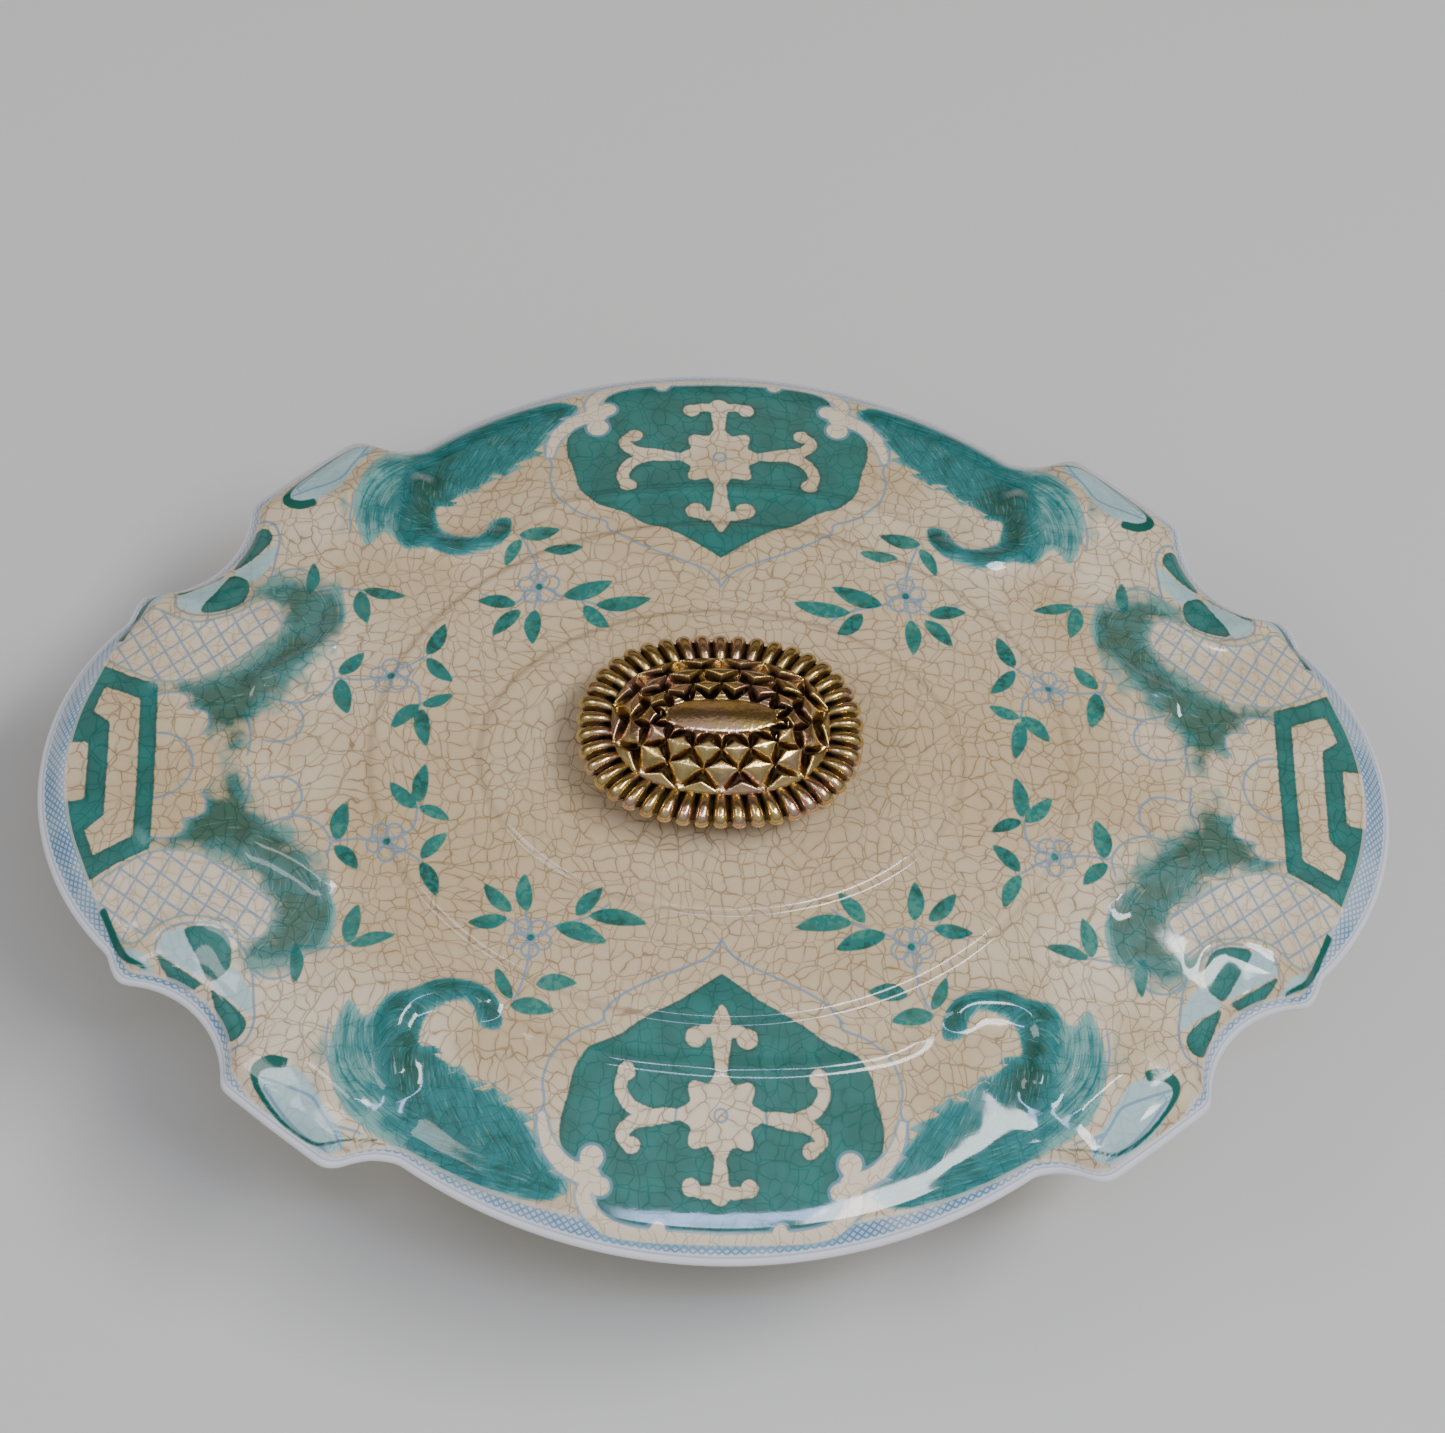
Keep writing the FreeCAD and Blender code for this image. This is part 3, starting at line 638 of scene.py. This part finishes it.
class Shader:
    """Builds the nodes of a material, or of another node tree, from short Python expressions."""

    def __init__(self, name, tree=None):
        if tree is None:
            self.material = bpy.data.materials.new(name)
            self.material.use_nodes = True
            tree = self.material.node_tree
            self.bsdf = next(n for n in tree.nodes if n.type == "BSDF_PRINCIPLED")
        self.tree = tree
        self.colour = None       # the colour so far, under the next coat

    def add(self, kind, inputs=None, **settings):
        node = self.tree.nodes.new(kind)
        for key, value in settings.items():
            setattr(node, key, value)
        for key, value in (inputs or {}).items():
            self.plug(node.inputs[key], value)
        return node

    def plug(self, socket, value):
        value = value.socket if isinstance(value, Wire) else value
        if isinstance(value, bpy.types.NodeSocket):
            self.tree.links.new(value, socket)
        else:
            socket.default_value = value

    def math(self, operation, *values):
        return Wire(self, self.add("ShaderNodeMath", dict(enumerate(values)), operation=operation).outputs[0])

    def largest(self, a, b):
        return self.math("MAXIMUM", a, b)

    def value(self, name):
        return Wire(self, self.add("ShaderNodeAttribute", attribute_name=name).outputs["Fac"])

    def mix(self, factor, a, b):
        node = self.add("ShaderNodeMix", data_type="RGBA")
        for socket, value in zip((node.inputs[0], node.inputs[6], node.inputs[7]), (factor, a, b)):
            self.plug(socket, value)
        return node.outputs[2]

    def coat(self, factor, paint):
        """Lays paint over the colour so far."""
        self.colour = self.mix(factor, self.colour, paint)

    def ramp(self, value, low, high, start=0.0, end=1.0):
        """start below low, end above high, smooth between."""
        node = self.add("ShaderNodeMapRange", {0: value, 1: low, 2: high, 3: start, 4: end},
            interpolation_type="SMOOTHSTEP")
        return Wire(self, node.outputs[0])

    def fall(self, value, low, high, start=1.0):
        """start below low, 0 above high, smooth between."""
        return self.ramp(value, low, high, start, 0.0)

    def noise(self, vector, scale, detail=2.0):
        node = self.add("ShaderNodeTexNoise", {"Vector": vector, "Scale": scale, "Detail": detail})
        return Wire(self, node.outputs["Fac"])

    def place(self):
        """Object position in mm."""
        position = self.add("ShaderNodeTexCoord").outputs["Object"]
        return self.add("ShaderNodeVectorMath", {0: position, 1: (1 / MM,) * 3}, operation="MULTIPLY").outputs[0]

    def bump(self, height, strength, distance):
        node = self.add("ShaderNodeBump", {"Height": height, "Strength": strength, "Distance": distance * MM})
        self.plug(self.bsdf.inputs["Normal"], node.outputs[0])


# ---------------------------------------------------------------- porcelain
CREAM = rgb(204, 178, 138)
CREAM_WHITE = rgb(232, 213, 184)
# colour of the stain in the cracks, also used for the painted shade along the lid's ring steps
STAIN_AND_SHADE = rgb(118, 86, 50)
PAINT_DARK, PAINT_GREEN, PAINT_LIGHT = rgb(0, 74, 68), rgb(0, 114, 108), rgb(58, 134, 118)
SPRIG_DARK = rgb(0, 84, 74)
OVER_GREEN = rgb(6, 92, 80)
CRACKED_GREEN = rgb(30, 76, 60)
LEAF_PALE, LEAF_MID, LEAF_DARK = rgb(120, 170, 162), rgb(10, 118, 120), rgb(0, 80, 70)
LEAF_AT_END = rgb(10, 92, 76)
THREAD_DARK, THREAD_PALE = rgb(0, 78, 78), rgb(128, 186, 176)
WASH = rgb(160, 202, 208)
LATTICE_BLUE, LATTICE_RIM = rgb(96, 140, 172), rgb(96, 150, 156)
INK_BLUE = rgb(104, 142, 166)
NET_WHITE, NET_BLUE, NET_THREAD = rgb(206, 214, 220), rgb(174, 198, 216), rgb(88, 126, 158)
HEM_WHITE, SCROLL_BLUE = rgb(226, 218, 210), rgb(120, 160, 180)
ROLL_WHITE, ROLL_BLUE = rgb(226, 224, 226), rgb(120, 140, 160)

COARSE_CRACKS = (7.4, 0.21, 0.8)       # cell size and line width in mm, and how irregular the cells are
FINE_CRACKS = (3.5, 0.20, 0.72)
LATTICE_PITCH = 4.2
LATTICE_DIRECTIONS = ((0.61, 0.79), (0.88, -0.47))
NET_ALONG, NET_INWARDS = 1.9, 1.15     # mesh of the border's net, in mm
TOOTH_LENGTH = 7.5
END_LEAVES_FROM = (83.0, 85.5)         # the end leaves lie beyond this distance from the middle
INNER_SIDE = (0.8, -0.8)               # distance across a leaf's spine, from its outer to its inner side
ROLLED_EDGE = 1.4                      # width of the white rolled edge


def crackle(s, place, cell, line, loose, flat):
    """1 on the cracks of a crazed glaze with cells of about the given size in mm; and the distance from them."""
    bend = s.add("ShaderNodeTexNoise", {"Vector": place, "Scale": 0.045, "Detail": 0.0}).outputs["Color"]
    wobble = s.add("ShaderNodeTexNoise", {"Vector": place, "Scale": 0.9 / cell, "Detail": 1.0}).outputs["Color"]
    moved = place
    for push, amount in ((bend, 9.0), (wobble, 0.8 * cell)):
        moved = s.add("ShaderNodeVectorMath", {0: push, 1: (amount,) * 3, 2: moved},
            operation="MULTIPLY_ADD").outputs[0]
    cells = s.add("ShaderNodeTexVoronoi", {"Vector": moved, "Scale": 1 / cell, "Randomness": loose},
        feature="DISTANCE_TO_EDGE", voronoi_dimensions="2D" if flat else "3D")
    distance = s.math("MULTIPLY", cells.outputs["Distance"], cell)
    return s.fall(distance, line * 0.3, line), distance


def glaze_base(s, place, flat):
    """Lays the cream crackled ground. Returns how much crack there is at each point."""
    coarse, _ = crackle(s, place, *COARSE_CRACKS, flat)
    fine, edge = crackle(s, place, *FINE_CRACKS, flat)
    vary = s.ramp(s.noise(place, 0.30, 2.0), 0.30, 0.60, 0.30, 1.0)
    cracks = s.largest(coarse * 0.8, fine * vary)
    patches = s.fall(s.noise(place, 0.028, 3.0), 0.32, 0.68)
    if flat:
        # whiter from the middle of the lid to its shoulder
        across, deep = (s.math("POWER", s.value(name) / half, 2.0) for name, half in zip(("plan_x", "plan_y"),
            RING_TWO))
        patches = patches * s.ramp(across + deep, 0.5, 1.8, 0.25, 1.0)
    s.colour = s.mix(patches, CREAM, CREAM_WHITE)
    s.coat(s.fall(edge, 0.0, 0.9, 0.13), STAIN_AND_SHADE)
    s.coat(cracks * 0.62, STAIN_AND_SHADE)
    return cracks


def line_of(s, name, half_width):
    """1 along a painted thin line."""
    return s.fall(abs(s.value(name)), half_width * 0.55, half_width * 1.25) * s.fall(s.value(name + "_off"), -0.25,
        0.0)


def inside_of(s, value, soft=0.22):
    return s.fall(value, -soft, soft)


def beside(s, value, middle, low, high, strength):
    """A line where the value is near the middle one."""
    return s.fall(abs(value - middle), low, high, strength)


def stripes(s, value, low, high):
    """1 on thin lines, one for each unit of the value."""
    return beside(s, s.math("FRACT", value), 0.5, low, high, 1.0)


def paint_washes(s, folded, jitter):
    """Pale turquoise washes, the blue lattice and the thin blue outlines."""
    s.coat(inside_of(s, s.value("pale") + jitter, 0.35) * 0.76, WASH)
    grid = [stripes(s, (folded[0] * a + folded[1] * b) / LATTICE_PITCH, 0.035, 0.095) for a, b in LATTICE_DIRECTIONS]
    in_lattice = inside_of(s, s.value("lattice"))
    s.coat(in_lattice * 0.35, CREAM_WHITE)
    s.coat(s.largest(*grid) * in_lattice * 0.7, LATTICE_BLUE)
    s.coat(s.fall(abs(s.value("lattice")), 0.2, 0.45, 0.6), LATTICE_RIM)
    s.coat(s.largest(line_of(s, "ink", 0.34), line_of(s, "ink_thin", 0.30)) * 0.72, INK_BLUE)


def paint_greens(s, blotch, fibre, jitter):
    """Solid green fills, whose paint pools darker along the edges, and the lighter sprigs. Returns the fills."""
    green_d = s.value("green") + jitter
    green = inside_of(s, green_d)
    pool = s.ramp(green_d, -1.2, -0.1, 0.0, 0.35)
    s.coat(green * 0.94, s.mix(s.ramp(blotch, 0.35, 0.65, 0.0, 0.45) + pool, PAINT_GREEN, PAINT_DARK))
    sprig_colour = s.mix(s.ramp(blotch, 0.4, 0.6), PAINT_LIGHT, SPRIG_DARK)
    sprig_colour = s.mix(s.ramp(fibre, 0.42, 0.58), sprig_colour, PAINT_GREEN)
    s.coat(inside_of(s, s.value("sprig")) * 0.95, sprig_colour)
    return green


def paint_brushed_leaves(s, place, folded):
    """Big brushed leaves: fine strokes fan out from the spine, and the inner edge is toothed. Those at the ends of
    the dish are smokier. Returns how much leaf there is at each point."""
    edge, along, side = s.value("leaf"), s.value("leaf_u"), s.value("leaf_v")
    out = abs(side)
    inner = s.ramp(side, *INNER_SIDE)
    at_end = s.ramp(folded[0], *END_LEAVES_FROM)

    def by_place(elsewhere, at_ends):
        return s.ramp(at_end, 0.0, 1.0, elsewhere, at_ends)

    across = out * 0.92 - along * s.ramp(inner, 0.0, 1.0, 0.20, 0.52)
    down = along + out * 0.4
    streak, thread = (s.noise(s.add("ShaderNodeCombineXYZ", {0: across * a, 1: down * b, 2: layer}).outputs[0], 1.0,
        detail) for a, b, layer, detail in ((1.8, 0.11, 0.0, 2.0), (2.6, 0.16, 7.0, 1.0)))
    wash = s.noise(place, 0.20, 4.0)

    # the leaf's outline, frayed by the brush
    tooth = s.math("FRACT", (along + out * 0.9) / TOOTH_LENGTH)
    teeth = (tooth - 0.5) * 2.4 * (inner * s.fall(along, 44.0, 50.0))
    brushed = edge + ((streak - 0.5) * 1.6 + teeth) * (1.0 - at_end)
    smoky = edge + (wash - 0.5) * 13.0 * at_end
    fill = s.ramp(s.mix(at_end, brushed, smoky), by_place(-0.5, -1.2), by_place(0.35, 4.4), 1.0, 0.0)
    fill = fill * s.ramp(s.value("reserve"), -0.1, 0.6)

    # how deep the paint lies: thinner at the crest and along the edge
    crest = s.ramp(folded[0], 66.0, 74.0) * by_place(1.0, 0.0)
    depth = (streak - 0.5) * by_place(1.15, 0.5) + s.value("leaf_dark") * 0.55
    depth = depth + (wash - 0.5) * by_place(1.0, 2.0)
    depth = depth + (0.62 - (crest * 0.30 + s.ramp(edge, -2.4, 0.0, 0.0, 0.45)))
    colour = s.mix(s.ramp(depth, 0.0, 0.55), LEAF_PALE, LEAF_MID)
    for factor, paint in ((s.ramp(depth, 0.55, 1.15), LEAF_DARK), (at_end * 0.35, LEAF_AT_END),
            (s.ramp(thread, 0.58, 0.70, 0.0, 0.42), THREAD_DARK), (s.ramp(thread, 0.40, 0.30, 0.0, 0.28),
            THREAD_PALE)):
        colour = s.mix(factor, colour, paint)
    s.coat(fill * by_place(0.96, 0.90), colour)
    return fill


def paint_border(s, place, cracks, jitter):
    """The border of fine netting, the scrolls in the ground colour over it, and the white rolled edge."""
    inwards, border, scroll = s.value("inset"), s.value("border"), s.value("cream_over")
    u, v = s.value("band_s") / NET_ALONG, inwards / NET_INWARDS
    net = s.largest(stripes(s, u + v, 0.10, 0.25), stripes(s, u - v, 0.10, 0.25))
    cloud = s.ramp(s.noise(place, 0.09, 2.0), 0.35, 0.65)
    netted = s.mix(net * s.ramp(cloud, 0.0, 1.0, 0.6, 0.9), s.mix(cloud, NET_WHITE, NET_BLUE), NET_THREAD)
    s.coat(inside_of(s, border, 0.4), netted)
    s.coat(beside(s, border, 0.35, 0.2, 0.45, 0.45), HEM_WHITE)
    s.coat(beside(s, scroll, 0.35, 0.2, 0.5, 0.6), SCROLL_BLUE)
    s.coat(inside_of(s, scroll), s.mix(cracks * 0.4, CREAM_WHITE, STAIN_AND_SHADE))
    s.coat(inside_of(s, s.value("green_over") + jitter * 0.4), OVER_GREEN)
    roll = s.mix(beside(s, inwards, 1.2, 0.12, 0.3, 0.45), ROLL_WHITE, ROLL_BLUE)
    s.coat(s.fall(inwards, ROLLED_EDGE, ROLLED_EDGE + 0.5), roll)


def painted_porcelain(name, flat):
    """Glaze with the painted decoration. flat: crackle laid out in plan, for the lid, instead of in space."""
    s = Shader(name)
    place = s.place()
    cracks = glaze_base(s, place, flat)
    folded = abs(s.value("plan_x")), abs(s.value("plan_y"))
    # painted shade: a darker line along each ring step, in the crack stain's colour
    s.coat(s.fall(s.value("step"), 0.1, 1.1, 0.22), STAIN_AND_SHADE)
    blotch, fibre = s.noise(place, 0.12, 3.0), s.noise(place, 0.8, 2.0)
    jitter = (fibre - 0.5) * 0.5
    paint_washes(s, folded, jitter)
    green = paint_greens(s, blotch, fibre, jitter)
    leaf_fill = paint_brushed_leaves(s, place, folded)
    s.coat(cracks * (s.largest(green, leaf_fill) * 0.30), CRACKED_GREEN)     # cracks stay visible through the paint
    paint_border(s, place, cracks, jitter)

    s.plug(s.bsdf.inputs["Base Color"], s.colour)
    s.plug(s.bsdf.inputs["Roughness"], s.ramp(s.noise(place, 0.25, 2.0), 0.3, 0.7, 0.05, 0.11))
    s.bsdf.inputs["IOR"].default_value = 1.52
    s.bump(s.noise(place, 0.10, 1.0) * 0.5 - cracks * 0.006, 0.20, 1.2)
    return s.material


# ---------------------------------------------------------------- knob
RIBS, FACETS = 42, 14
KNOB_COLUMNS = RIBS * 18
KNOB_TOP = RIM_Z + TOP_RISE + 20.3
RING_Z = RIM_Z + TOP_RISE + 12.2
RING_OVAL = (26.9, 19.4)      # half axes of the ring of fingers, along its middle
CROWN_OVAL = (23.6, 16.6)     # half axes of the faceted crown's edge
PATCH_OVAL = (11.8, 4.0)      # half axes of the smooth patch on top
KNOB_SHIFT = (-1.0, -0.4)     # the knob's head sits a little off centre


def oval_columns(count, half_x, half_y, power=2.35):
    """Unit oval directions spaced evenly along an oval with the given half axes."""
    a = np.linspace(0, 2 * np.pi, 4001)
    x = np.sign(np.cos(a)) * np.abs(np.cos(a)) ** (2 / power)
    y = np.sign(np.sin(a)) * np.abs(np.sin(a)) ** (2 / power)
    s = np.concatenate([[0], np.cumsum(np.hypot(np.diff(x * half_x), np.diff(y * half_y)))])
    want = np.arange(count) / count * s[-1]
    return np.interp(want, s, x), np.interp(want, s, y)


def build_knob():
    cx, cy = oval_columns(KNOB_COLUMNS, 26.0, 19.0)
    share = np.arange(KNOB_COLUMNS) / KNOB_COLUMNS
    rows, patina_and_shade = [], []

    def row(half_x, half_y, z, dirt_and_shade):
        rows.append(np.column_stack([half_x * cx + KNOB_SHIFT[0], half_y * cy + KNOB_SHIFT[1], np.broadcast_to(z,
            cx.shape)]))
        patina_and_shade.append(np.broadcast_to(dirt_and_shade, cx.shape))

    # smooth patch on top, then three staggered rows of faceted scales down to the crown's edge
    for t in (0.12, 0.3, 0.5, 0.7, 0.85, 0.95):
        row(PATCH_OVAL[0] * t, PATCH_OVAL[1] * t, KNOB_TOP - 0.85 * t * t, 0.0)
    for r in np.linspace(0, 1.5, 64):
        t = r / 1.5
        half_x, half_y = (patch + (crown - patch) * t for patch, crown in zip(PATCH_OVAL, CROWN_OVAL))
        dome = KNOB_TOP - 0.9 - 4.3 * t ** 1.7
        fp, fq = np.mod(FACETS * share + r, 1), np.mod(FACETS * share - r, 1)
        low_edge, high_edge = np.minimum(1 - fp, fq), np.minimum(fp, 1 - fq)
        climb = low_edge / np.maximum(low_edge + high_edge, 1e-6)
        pad = smooth(climb, -0.1, 0.58) * (1 - smooth(climb, 0.68, 0.92))
        # pit: dark gap at each scale's lower edge, painted shadow with some patina
        pit = smooth(climb, 0.66, 0.84)
        beside_patch = (r < 0.5) & (r < np.abs(0.5 - np.mod(FACETS * share + 0.5, 1)))
        pad = np.where(beside_patch, smooth(low_edge, -0.02, 0.3), pad)
        pit = np.where(beside_patch, 1 - smooth(low_edge, 0.0, 0.12), pit)
        settle = smooth(r, 0.0, 0.10) * (1 - 0.6 * smooth(r, 1.28, 1.5))
        row(half_x, half_y, dome + 2.6 * (pad - 0.7) * settle, pit * settle)
    # the crown's edge is darkened underneath: painted shadow under its overhang
    for out, drop, dirt_and_shade in ((0.25, 5.6, 0.15), (0.35, 6.2, 0.15), (0.1, 6.9, 0.95), (-0.7, 7.4, 0.95),
            (-1.8, 7.5, 0.95)):
        row(CROWN_OVAL[0] + out, CROWN_OVAL[1] + out, KNOB_TOP - drop, dirt_and_shade)

    # gadrooned ring: rounded fingers side by side
    rib = 2 * np.mod(RIBS * share, 1) - 1
    crest = np.sqrt(np.clip(1 - (np.abs(rib) * 1.18) ** 2.4, 0.0, 1))
    for angle in np.radians(np.concatenate([np.linspace(158, 20, 14), np.linspace(10, -155, 16)])):
        reach = 4.2 - (1.5 if angle > -1.6 else 0.9) * (1 - crest)
        out = np.where(np.cos(angle) > 0, reach, 4.2) * np.cos(angle)
        lift = (0.22 + 0.78 * crest) * 2.8 * np.sin(angle)
        # darker in the gaps between the fingers (patina with painted shade) and on the ring's inner side, painted
        # shade under the crown
        row(RING_OVAL[0] + out, RING_OVAL[1] + out, RING_Z + 0.4 + lift,
            np.clip(1.15 - 1.5 * crest + 0.8 * smooth(-np.cos(angle), -0.2, 0.7), 0, 1))

    # underside and turned neck, which is round and stands on the collar
    collar_z = RIM_Z + TOP_RISE + 3.8
    a = np.arctan2(cy, cx)
    for radius, z in ((15.0, RING_Z - 2.2), (11.0, RING_Z - 2.6), (8.4, RING_Z - 3.6), (7.2, RING_Z - 4.6),
            (6.4, RING_Z - 6.0), (6.3, collar_z + 2.0), (7.0, collar_z + 1.0), (8.0, collar_z + 0.5),
            (8.1, collar_z + 0.02)):
        oval = smooth(radius, 9.0, 15.0) * 0.18
        rows.append(np.column_stack([radius * (1 + oval) * np.cos(a), radius * (1 - oval) * np.sin(a),
            np.full(cx.shape, z)]))
        # the underside and neck are darkened evenly: painted shade under the ring
        patina_and_shade.append(np.full(cx.shape, 0.35))
    return make_mesh("knob_brass", rows, {"patina_and_shade": np.array(patina_and_shade)}, ends="capped")


def brass(name, aged_and_shaded):
    """Worn brass, with random dirt. The second argument adds the darkening held in the piece's attribute as well:
    patina in the hollows, and painted shade between the scales, under the crown's edge and under the ring.
    """
    s = Shader(name)
    place = s.place()
    dirt_and_shade = s.ramp(s.noise(place, 0.35, 4.0), 0.42, 0.75, 0.0, 0.5)
    tone = s.mix(s.ramp(s.noise(place, 0.13, 2.0), 0.45, 0.65), rgb(222, 188, 122), rgb(226, 182, 152))
    if aged_and_shaded:
        # the piece's patina and painted shade, added to the random dirt
        dirt_and_shade = s.value("patina_and_shade") * 0.95 + dirt_and_shade * 0.6
    dirt_and_shade = s.math("MINIMUM", dirt_and_shade, 1.0)
    s.plug(s.bsdf.inputs["Base Color"], s.mix(dirt_and_shade, tone, rgb(34, 24, 13)))
    s.plug(s.bsdf.inputs["Roughness"], s.ramp(dirt_and_shade, 0.0, 1.0, 0.17, 0.60))
    s.bsdf.inputs["Metallic"].default_value = 1.0
    s.bump(s.noise(place, 1.1, 3.0), 0.25, 0.4)
    return s.material


def rubber():
    s = Shader("soft_pad")
    s.plug(s.bsdf.inputs["Base Color"], s.mix(s.noise(s.place(), 0.6, 3.0), rgb(60, 56, 52), rgb(82, 78, 72)))
    s.bsdf.inputs["Roughness"].default_value = 0.75
    return s.material


def give(piece, material):
    piece.data.materials.clear()
    piece.data.materials.append(material)


# ---------------------------------------------------------------- assemble
lid = build_lid()
give(lid, painted_porcelain("porcelain_lid", True))
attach(lid, "lid")
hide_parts("lid")

bowl = build_bowl()
give(bowl, painted_porcelain("porcelain_bowl", False))
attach(bowl, "bowl")
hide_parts("bowl")

knob = build_knob()
give(knob, brass("brass_aged_and_shaded", True))
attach(knob, "lid")
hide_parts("knob")

fixings = brass("brass_fixings", False)
for node in ("collar", "stud", "washer", "nut"):
    give(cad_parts[node], fixings)
for node in ("pad_upper", "pad_lower"):
    give(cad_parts[node], rubber())

# ---------------------------------------------------------------- floor, light and camera
FLOOR_REACH = 6               # half the floor's side, in metres


def area_light(name, place, aim, size, power, tint):
    data = bpy.data.lights.new(name, "AREA")
    data.shape = "RECTANGLE"
    data.size, data.size_y = size
    data.energy = power
    data.color = tint
    lamp = link(name, data)
    lamp.location = place
    lamp.rotation_euler = (Vector(aim) - Vector(place)).to_track_quat("-Z", "Y").to_euler()


def studio_world():
    """Soft surroundings: warm behind the dish (+Y), bright overhead, cool daylight in front, an even grey horizon."""
    made = bpy.data.worlds.new("studio")
    made.use_nodes = True
    background = made.node_tree.nodes["Background"]
    s = Shader("studio", made.node_tree)
    sky = s.add("ShaderNodeTexCoord").outputs["Generated"]
    _, y, z = s.add("ShaderNodeSeparateXYZ", {0: sky}).outputs
    angle = s.math("ARCTAN2", z, y) * (180 / math.pi)
    # angle above the horizon behind the dish, brightness there, and tint
    steps = [(12, 0.10, (1.0, 0.82, 0.62)), (26, 0.80, (1.0, 0.82, 0.60)), (40, 0.60, (1.0, 0.84, 0.64)),
        (54, 0.14, (1.0, 0.86, 0.72)), (66, 0.20, (1.0, 0.92, 0.82)), (84, 0.90, (1.0, 1.0, 0.97)),
        (100, 0.95, (0.98, 0.99, 1.0)), (120, 1.00, (0.88, 0.94, 1.0)), (150, 1.10, (0.82, 0.90, 1.0)),
        (175, 1.60, (0.78, 0.88, 1.0))]
    colours = [tuple(power * c for c in tint) + (1.0,) for _, power, tint in steps]
    s.colour = colours[0]
    for (start, _, _), (end, _, _), colour in zip(steps[:-1], steps[1:], colours[1:]):
        s.coat(s.ramp(angle, start, end), colour)
    dimmed = s.mix(s.ramp(z, 0.10, 0.70, 0.45, 1.0), (0.0, 0.0, 0.0, 1.0), s.colour)
    s.plug(background.inputs[0], s.mix(s.ramp(z, 0.06, 0.18), (0.50, 0.49, 0.48, 1.0), dimmed))
    background.inputs[1].default_value = 0.53
    return made


floor_mesh = bpy.data.meshes.new("floor")
floor_corners = [(x * FLOOR_REACH, y * FLOOR_REACH, 0) for x, y in ((-1, -1), (1, -1), (1, 1), (-1, 1))]
floor_mesh.from_pydata(floor_corners, [], [(0, 1, 2, 3)])
floor = link("floor", floor_mesh)
ground = Shader("floor")
ground.bsdf.inputs["Base Color"].default_value = rgb(214, 210, 204)
ground.bsdf.inputs["Roughness"].default_value = 0.7
give(floor, ground.material)

area_light("softbox_right", (0.62, -0.36, 1.58), (0.03, -0.06, 0.085), (0.85, 0.31), 19.0, (0.94, 0.97, 1.0))
area_light("softbox_left", (-0.95, -0.35, 1.50), (0, 0, 0.085), (0.70, 0.40), 4.5, (0.98, 0.99, 1.0))
area_light("strip_front", (0.08, -0.59, 1.60), (0, -0.1, 0.08), (0.60, 0.10), 4.6, (0.50, 0.60, 1.0))
bpy.context.scene.world = studio_world()

# the photograph's viewing angle
ELEVATION, AZIMUTH, ROLL = map(math.radians, (60.68, -5.23, 5.89))
DISTANCE = 1096.1 * MM
TARGET = Vector((1.2, 22.0, RIM_Z)) * MM
back = Vector((math.sin(AZIMUTH) * math.cos(ELEVATION), -math.cos(AZIMUTH) * math.cos(ELEVATION), math.sin(ELEVATION)))
right = Vector((math.cos(AZIMUTH), math.sin(AZIMUTH), 0.0))
up = back.cross(right)
camera_data = bpy.data.cameras.new("camera")
camera_data.sensor_width = 36.0
camera_data.lens = 121.75
camera_data.clip_start, camera_data.clip_end = 0.05, 20.0
camera = link("camera", camera_data)
tilted_right = math.cos(ROLL) * right + math.sin(ROLL) * up
tilted_up = -math.sin(ROLL) * right + math.cos(ROLL) * up
turn = Matrix((tilted_right, tilted_up, back)).transposed().to_4x4()
camera.matrix_world = Matrix.Translation(TARGET + DISTANCE * back) @ turn
bpy.context.scene.camera = camera
